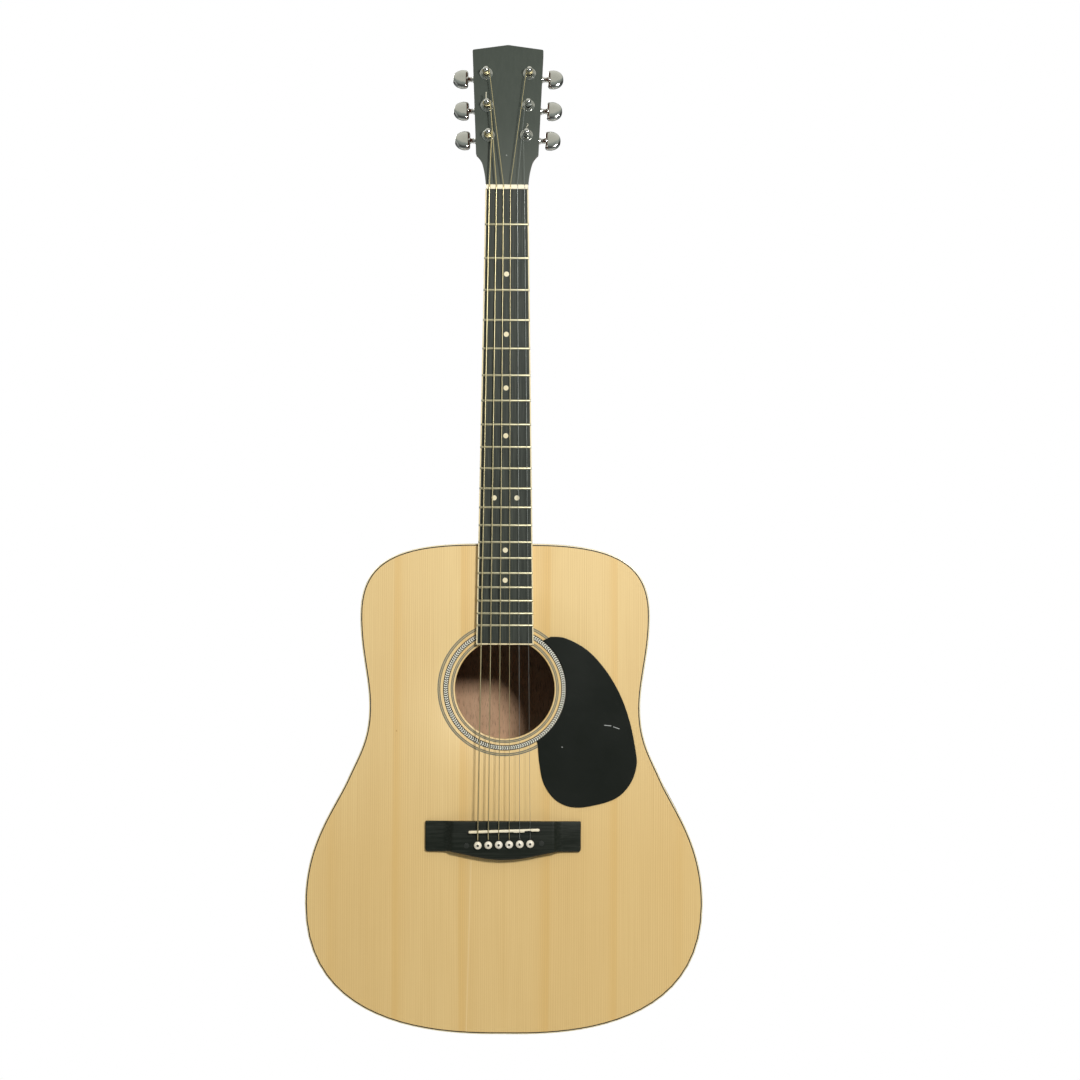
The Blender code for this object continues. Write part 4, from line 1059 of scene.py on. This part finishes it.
def build_neck():
    """Shaft and heel in one loft, its end let into the headstock's slab."""
    front = BOARD_BASE_Y + 0.02
    near, deep = NECK_DEPTHS
    throat = ((NUT_Z + 22, 22.6, -6.0, 9.0), (NUT_Z + 17, 22.2, -7.2, 11.5), (NUT_Z + 11, 21.9, -8.8, 13.8),
              (NUT_Z + 4.8, 21.5, front, near + 0.6))
    sections = [neck_section(*values) for values in throat]
    for i in range(1, 29):
        share = i / 28
        z = NUT_Z + (HEEL_START_Z - NUT_Z) * share
        sections.append(neck_section(z, board_half_width(z) - 0.1, front, near + (deep - near) * share))
    full = (HEEL_CAP_Y - front) / 0.93
    for i in range(1, 25):
        angle = math.pi / 2 * i / 24
        z = HEEL_START_Z + (HEEL_CAP_START_Z - HEEL_START_Z) * math.sin(angle)
        depth = deep + (full - deep) * (1 - math.cos(angle))
        sections.append(neck_section(z, board_half_width(z) - 0.1, front, depth))
    sections.append(neck_section(BODY_TOP_Z + 0.05, 27.4, front, full))
    piece("neck_shaft", loft(sections), NECK_WOOD, replaces=["neck"], smooth=40)
    piece("headstock_core", slab(-OVERLAY_THICKNESS - 0.02, -HEAD_BACK, 0.8), NECK_WOOD,
          smooth=38)
    piece("headstock_veneer", slab(0.0, -OVERLAY_THICKNESS, 0.3), VENEER,
          replaces=["headstock_overlay"])
    cap = []
    for inset, y in ((0.0, 0.02), (0.0, 1.2), (0.3, 1.5)):
        half, low = HEEL_CAP_HALF - inset, BODY_TOP_Z + 0.1 + inset
        ring = [(-half, low), (half, low)]
        for step in range(13):
            angle = math.pi * step / 12
            ring.append((half * math.cos(angle),
                         BODY_TOP_Z + HEEL_CAP_STRAIGHT + (HEEL_CAP_ROUND - inset) * math.sin(angle)))
        cap.append([(x, HEEL_CAP_Y - 1.45 + y, z) for x, z in ring])
    piece("heel_cap_plate", loft(cap), CREAM)


def build_fingerboard():
    end = BOARD_LOW.z
    trim = BOARD_BINDING
    top, base = BOARD_TOP_Y, BOARD_BASE_Y

    def tapered(left, right, high, low, front, back, round_off=0.0):
        """left and right give x at a height."""
        outline = [(left(high), high), (right(high), high), (right(low), low), (left(low), low)]
        return prism(outline, front, back, round_off)

    start = NUT_Z
    board = tapered(lambda z: -board_half_width(z) + trim, lambda z: board_half_width(z) - trim,
                    start, end + trim, top, base)
    piece("fingerboard_wood", board, BOARD_WOOD, replaces=["fingerboard"])
    for name, sign in (("bass", -1), ("treble", 1)):
        def inner(z):
            return sign * (board_half_width(z) - trim + 0.02)

        def outer(z):
            return sign * board_half_width(z)

        left, right = (outer, inner) if sign < 0 else (inner, outer)
        strip = tapered(left, right, start, end, top - 0.01, base)
        piece("fingerboard_edge_" + name, strip, CREAM, bevel=0.3)
    strip = tapered(lambda z: -board_half_width(z) + trim + 0.02, lambda z: board_half_width(z) - trim - 0.02,
                    end + trim - 0.02, end, top - 0.01, base)
    piece("fingerboard_edge_end", strip, CREAM)

    wires = []
    for number in range(1, FRETS + 1):
        z = fret_z(number)
        half = board_half_width(z) - 0.15
        sections = []
        for x, size in ((-half, 0.35), (-half + 0.35, 0.8), (-half + 0.9, 1.0), (half - 0.9, 1.0),
                        (half - 0.35, 0.8), (half, 0.35)):
            section = [(x, top + 0.3, z - FRET_HALF_WIDTH)]
            for step in range(9):
                angle = math.pi * step / 8
                section.append((x, top - FRET_HEIGHT * size * math.sin(angle),
                                z - FRET_HALF_WIDTH * math.cos(angle)))
            section.append((x, top + 0.3, z + FRET_HALF_WIDTH))
            sections.append(section)
        wires.append(loft(sections))
    piece("fret_wires", joined(wires), FRET_METAL, smooth=50)

    dots = []
    side_dots = []
    for number in DOT_FRETS:
        z = (fret_z(number) + fret_z(number - 1)) / 2
        for x in ((-DOT_PAIR_HALF, DOT_PAIR_HALF) if number == OCTAVE_FRET else (0.0,)):
            dots.append(turned(((DOT_RADIUS, -0.4), (DOT_RADIUS, 0.02), (0.3, 0.03)),
                               lambda a, b, out: (x + a, top - out, z + b), 28))
        half = board_half_width(z)
        for shift in ((-SIDE_DOT_PAIR_HALF, SIDE_DOT_PAIR_HALF) if number == OCTAVE_FRET else (0.0,)):
            middle = (top + base) / 2 - 0.8
            side_dots.append(turned(((SIDE_DOT_RADIUS, -0.3), (SIDE_DOT_RADIUS, 0.03), (0.2, 0.04)),
                                    lambda a, b, out: (-half - out, middle + a, z + shift + b), 20))
    piece("fingerboard_dots", joined(dots), DOT)
    piece("side_dots", joined(side_dots), BLACK_LINE)


def string_xs():
    """Where each string crosses the nut."""
    return [(i - 2.5) * NUT_SPACING for i in range(6)]


def build_nut():
    """A bone nut with a rounded back, filed with a notch for each string."""
    low, high = NUT_Z + 0.02, NUT_HIGH.z
    base, top = BOARD_BASE_Y, NUT_LOW.y
    half = NUT_HIGH.x
    stations = {-half, -half + 0.4, half - 0.4, half}
    for x, diameter in zip(string_xs(), STRING_DIAMETERS):
        wide = diameter / 2 + 0.25
        stations |= {x - wide - 0.15, x - wide, x + wide, x + wide + 0.15}
    notches = [(x, d / 2 + 0.25) for x, d in zip(string_xs(), STRING_DIAMETERS)]
    sections = []
    for x in sorted(stations):
        notch = any(abs(x - centre) <= wide + 0.01 for centre, wide in notches)
        crown = top + (0.0 if notch else -0.9)
        if abs(x) == half:
            crown = top + 0.1
        section = [(x, base, low), (x, crown + 0.2, low), (x, crown, low + 0.3)]
        for step in range(1, 7):
            angle = math.pi / 2 * step / 6
            section.append((x, crown + 2.6 * (1 - math.cos(angle)),
                            low + 1.6 + (high - low - 1.6) * math.sin(angle)))
        section.append((x, base, high))
        sections.append(section)
    piece("nut_bone", loft(sections), BONE, replaces=["nut"], smooth=40)


# Tuners -----------------------------------------------------------------------------------------

def build_bushing(name, along):
    """A pressed ferrule with a stepped washer that the post turns in."""
    profile = ((3.35, 3.2), (3.55, 3.45), (4.2, 3.4), (4.5, 3.0), (4.75, 1.3), (5.05, 1.25), (5.15, 1.75),
               (5.5, 1.7), (5.7, 1.45), (5.75, 0.7), (5.95, 0.65), (6.05, 1.0), (6.5, 0.95), (6.75, 0.7),
               (6.8, 0.1), (4.4, 0.1), (4.4, -10.0), (3.35, -10.0))
    piece("ferrule_" + name, turned(profile, along, 44, hollow=True), CHROME,
          replaces=["tuner_bushing_" + name])


def build_post(name, along):
    """A string post with a waist where the string winds and a rounded tip."""
    profile = ((1.4, -28.9), (1.4, -16.0), (2.9, -15.0), (2.9, 3.4), (3.0, 3.9), (2.95, 5.2), (2.8, 6.2),
               (2.75, 9.6), (2.85, 10.6), (3.0, 11.4), (3.0, 12.6), (2.85, 13.4), (2.5, 14.0), (1.9, 14.4),
               (1.0, 14.65), (0.2, 14.7))
    piece("post_turned_" + name, turned(profile, along, 36), CHROME, body="post_" + name,
          replaces=["tuner_post_" + name])


def rounded_block(along, low, high, corner):
    """A cast block with rounded vertical corners and a rounded outer face."""
    def ring(inset, out):
        points = []
        for sx, su in ((1, 1), (-1, 1), (-1, -1), (1, -1)):
            x = (high[0] if sx > 0 else low[0]) - sx * corner
            u = (high[1] if su > 0 else low[1]) - su * corner
            start = {(1, 1): 0, (-1, 1): 90, (-1, -1): 180, (1, -1): 270}[(sx, su)]
            for step in range(7):
                angle = math.radians(start + 15 * step)
                reach = corner - inset
                points.append(along(x + reach * math.cos(angle), u + reach * math.sin(angle), out))
        return points

    near, far = high[2], low[2]
    sections = [ring(0.0, near), ring(0.0, near - 0.8)]
    sections += [ring(0.0, far + 1.8), ring(0.25, far + 1.0), ring(0.8, far + 0.3), ring(1.7, far)]
    return loft(sections)


def build_housing(name, along):
    """The sealed gear case behind the headstock, its boss, its mounting screw and the cap over the gear."""
    case = rounded_block(along, (-7.4, -5.7, -31.1), (7.6, 8.7, -15.6), 2.6)
    piece("gear_case_" + name, case, CHROME, replaces=["tuner_housing_" + name])
    profile = ((3.4, 6.0), (3.4, 13.4), (3.2, 14.1), (2.7, 14.5), (1.75, 14.5), (1.75, 9.0))

    def on_shaft(across, up, x):
        return along(x, WORM_OFFSET + across, WORM_DEPTH + up)

    piece("gear_boss_" + name, turned(profile, on_shaft, 32), CHROME)

    def behind(x0, u0, start):
        return lambda a, b, h: along(x0 + a, u0 + b, start - h)

    tab = rounded_block(along, (-11.6, -8.6, -17.2), (-4.6, -1.6, -15.6), 3.0)
    piece("gear_tab_" + name, tab, CHROME)
    head = turned(((1.0, -3.0), (2.3, 0.0), (2.25, 0.5), (1.8, 0.95), (1.0, 1.2), (0.9, 0.5), (0.2, 0.45)),
                  behind(-8.2, -5.1, -17.1), 28)
    piece("gear_screw_" + name, head, CHROME)
    cap = turned(((3.3, 0.0), (3.3, 0.35), (3.0, 0.6), (1.3, 0.75), (1.25, 0.3), (0.2, 0.25)),
                 behind(0.0, 0.0, -30.95), 32)
    piece("gear_cap_" + name, cap, CHROME)


def build_button(name, along):
    """A half-moon button with a pillowed face, a collar and its shaft."""
    width, height, thick = BUTTON_SIZE
    half = height / 2
    outline = [(0.0, -0.33 * height), (0.03 * width, -0.41 * height), (0.12 * width, -0.475 * height)]
    for degrees in range(-80, 81, 8):
        a = math.radians(degrees)
        outline.append((width * (0.2 + 0.8 * abs(math.cos(a)) ** 0.86),
                        half * math.copysign(abs(math.sin(a)) ** 0.94, a)))
    outline += [(0.12 * width, 0.475 * height), (0.03 * width, 0.41 * height), (0.0, 0.33 * height)]
    centre = 0.45 * width
    layers = []
    for out, size in ((-0.5, 0.30), (-0.49, 0.60), (-0.445, 0.80), (-0.35, 0.93), (-0.18, 0.995), (0.0, 1.0),
                      (0.18, 0.995), (0.35, 0.93), (0.445, 0.80), (0.49, 0.60), (0.5, 0.30)):
        layers.append([along(BUTTON_START + centre + (x - centre) * size, WORM_OFFSET + u * size,
                             WORM_DEPTH + out * thick) for x, u in outline])
    piece("button_wing_" + name, loft(layers), CHROME, body="button_" + name,
          replaces=["tuner_button_" + name], smooth=60)
    profile = ((1.6, 9.2), (1.6, 15.0), (2.6, 15.1), (2.75, 15.5), (2.6, 16.0), (2.3, 16.4), (2.5, 17.6),
               (3.3, 18.9), (3.5, 19.8), (3.2, 21.5), (2.0, 23.5), (0.4, 24.2))

    def on_shaft(across, up, x):
        return along(x, WORM_OFFSET + across, WORM_DEPTH + up)

    piece("button_neck_" + name, turned(profile, on_shaft, 32), CHROME, body="button_" + name)


def build_tuners():
    for name, post_x, post_u, _ in TUNERS:
        side = math.copysign(1.0, post_x)

        def along(x, u, out):
            return on_headstock(post_x + side * x, post_u + u, out)

        build_bushing(name, along)
        build_post(name, along)
        build_housing(name, along)
        build_button(name, along)


# Strings ----------------------------------------------------------------------------------------

def build_strings():
    """Each string from its ball end, over saddle and nut, to its turns round the post."""
    places = pin_places()
    for i, (name, post_x, post_u, turn_height) in enumerate(TUNERS):
        radius = STRING_DIAMETERS[i] / 2
        nut_x = string_xs()[i]
        pin_x, pin_z = places[i]
        hole_z = pin_z + STRING_HOLE_OFFSET
        saddle_z = SADDLE_Z + SADDLE_SLANT * pin_x
        saddle_y = SADDLE_LOW.y - radius + 0.05
        nut_y = NUT_LOW.y - radius
        under = FACE_Y + PLATE_THICKNESS + 3.5
        path = [(pin_x, under + 4.2, hole_z), (pin_x, under + 0.9, hole_z), (pin_x, under + 0.4, hole_z),
                (pin_x, -19.4, hole_z), (pin_x, -20.6, hole_z + 0.25), (pin_x, -21.5, hole_z + 0.9),
                (pin_x, saddle_y + 0.55, saddle_z - 3.0), (pin_x, saddle_y + 0.1, saddle_z - 1.2),
                (pin_x, saddle_y, saddle_z - 0.2), (pin_x, saddle_y, saddle_z + 0.9)]
        radii = [BALL_END_RADIUS] * 2 + [radius] * (len(path) - 2)
        steps = 40
        for step in range(1, steps):
            t = step / steps
            path.append((pin_x + (nut_x - pin_x) * t, saddle_y + (nut_y - saddle_y) * t,
                         saddle_z + 0.9 + (NUT_Z - saddle_z - 1.4) * t))
        path += [(nut_x, nut_y, NUT_Z - 0.5), (nut_x, nut_y, NUT_Z + 1.2), (nut_x, nut_y + 0.25, NUT_Z + 2.6),
                 (nut_x, nut_y + 0.9, NUT_Z + 4.2)]
        side = -math.copysign(1.0, post_x)
        coil = POST_WAIST + radius
        pitch = 2 * radius + TURN_GAP
        count = 44
        for step in range(count + 1):
            angle = 2 * math.pi * STRING_TURNS * step / count
            path.append(on_headstock(post_x + side * coil * math.cos(angle), post_u + coil * math.sin(angle),
                                     turn_height - pitch * STRING_TURNS * step / count))
        radii += [radius] * (len(path) - len(radii))
        piece("string_line_" + name, tube(path, radii, 12), BRONZE if i < 4 else STEEL,
              replaces=["string_" + name], smooth=60)
    build_tails()


def build_tails():
    """The cut ends of the strings that stand out of the posts."""
    def on_post(name):
        for label, post_x, post_u, _ in TUNERS:
            if label == name:
                return lambda x, u, out: on_headstock(post_x + x, post_u + u, out)

    along = on_post("A")
    path = [along(-0.6, 1.0, 11.6), along(-0.7, 4.0, 11.4), along(-0.7, 7.0, 11.0), along(-0.8, 10.4, 10.6)]
    piece("string_tail_A", tube(spline(path, 5), 0.5, 10), TAIL_METAL, body="post_A",
          smooth=60)
    along = on_post("E_high")
    path = [along(-0.2, 1.5, 11.6), along(0.1, 4.0, 11.2), along(0.5, 5.8, 10.8), along(1.5, 7.0, 10.6),
            along(1.5, 8.2, 10.4), along(0.5, 8.9, 10.2)]
    piece("string_tail_E_high", tube(spline(path, 6), 0.26, 10), TAIL_METAL, body="post_E_high",
          smooth=60)


# The studio -------------------------------------------------------------------------------------

# The room's colour from straight down (0) to straight up (1)
ROOM_STOPS = (
    (0.0, (0.20, 0.22, 0.22)), (0.30, (0.16, 0.175, 0.175)), (0.42, (0.055, 0.06, 0.06)),
    (0.52, (0.05, 0.05, 0.049)), (0.62, (0.12, 0.125, 0.118)), (0.768, (0.32, 0.35, 0.33)),
    (0.788, (0.58, 0.57, 0.51)), (1.0, (0.80, 0.79, 0.73)),
)
FLOOR_Z = -1.25
FLOOR_RADIUS = 1.2
FLOOR_SIDES = 64
# Name, place, aim, width, power and colour of each lamp
LAMPS = (
    ("key", (0.728, -1.82, 0.325), (0.0, 0.0, 0.4), 0.42, 42.5, (1.0, 0.99, 0.95)),
    ("fill", (-2.4, -2.2, 0.2), (0.0, 0.0, -0.4), 2.4, 4.0, (1.0, 1.0, 1.0)),
    ("rear", (-1.7, 2.5, 0.9), (0.0, 0.0, -0.4), 1.6, 40.0, (1.0, 1.0, 1.0)),
)


def build_world():
    """White where the camera looks past the guitar, a soft grey room everywhere else."""
    world = bpy.data.worlds.new("studio")
    bpy.context.scene.world = world
    world.use_nodes = True
    tree = world.node_tree
    tree.nodes.clear()
    output, seen, room, way, split, height, sky, path, mix = (
        tree.nodes.new("ShaderNode" + kind) for kind in (
            "OutputWorld", "Background", "Background", "TexCoord", "SeparateXYZ", "MapRange", "ValToRGB",
            "LightPath", "MixShader"))
    seen.inputs["Color"].default_value = (1.0, 1.0, 1.0, 1.0)
    height.inputs["From Min"].default_value = -1.0
    set_stops(sky.color_ramp.elements, ROOM_STOPS)
    for source, target in (
            (way.outputs["Generated"], split.inputs[0]), (split.outputs["Z"], height.inputs["Value"]),
            (height.outputs["Result"], sky.inputs["Fac"]), (sky.outputs["Color"], room.inputs["Color"]),
            (path.outputs["Is Camera Ray"], mix.inputs["Fac"]), (room.outputs[0], mix.inputs[1]),
            (seen.outputs[0], mix.inputs[2]), (mix.outputs[0], output.inputs["Surface"])):
        tree.links.new(source, target)


def build_light(name, place, aim, size, power, colour):
    data = bpy.data.lights.new(name, "AREA")
    data.shape = "DISK"
    data.size = size
    data.energy = power
    data.color = colour
    lamp = bpy.data.objects.new(name, data)
    bpy.context.scene.collection.objects.link(lamp)
    lamp.location = place
    lamp.rotation_euler = (Vector(aim) - Vector(place)).to_track_quat("-Z", "Y").to_euler()


def build_floor():
    material = bpy.data.materials.new("floor_finish")
    material.use_nodes = True
    shader = material.node_tree.nodes["Principled BSDF"]
    shader.inputs["Base Color"].default_value = (0.66, 0.66, 0.66, 1.0)
    shader.inputs["Roughness"].default_value = 0.9
    n = FLOOR_SIDES
    ring = circle(0, 0.3, FLOOR_RADIUS, n)
    mesh = bpy.data.meshes.new("floor")
    points = [(x, y, z) for z in (FLOOR_Z, FLOOR_Z - 0.01) for x, y in ring]
    faces = [tuple(range(n)), tuple(range(2 * n - 1, n - 1, -1))]
    faces += [(j, (j + 1) % n, n + (j + 1) % n, n + j) for j in range(n)]
    mesh.from_pydata(points, [], faces)
    mesh.materials.append(material)
    floor = bpy.data.objects.new("floor", mesh)
    bpy.context.scene.collection.objects.link(floor)


bpy.context.scene.view_settings.view_transform = "Standard"

build_top()
build_bindings()
build_sides()
build_back()
build_rosette()
build_pickguard()
build_insides()
build_end_pin()
build_bridge()
build_saddle()
build_bridge_pins()
build_neck()
build_fingerboard()
build_nut()
build_tuners()
build_strings()
build_world()
for lamp in LAMPS:
    build_light(*lamp)
build_floor()
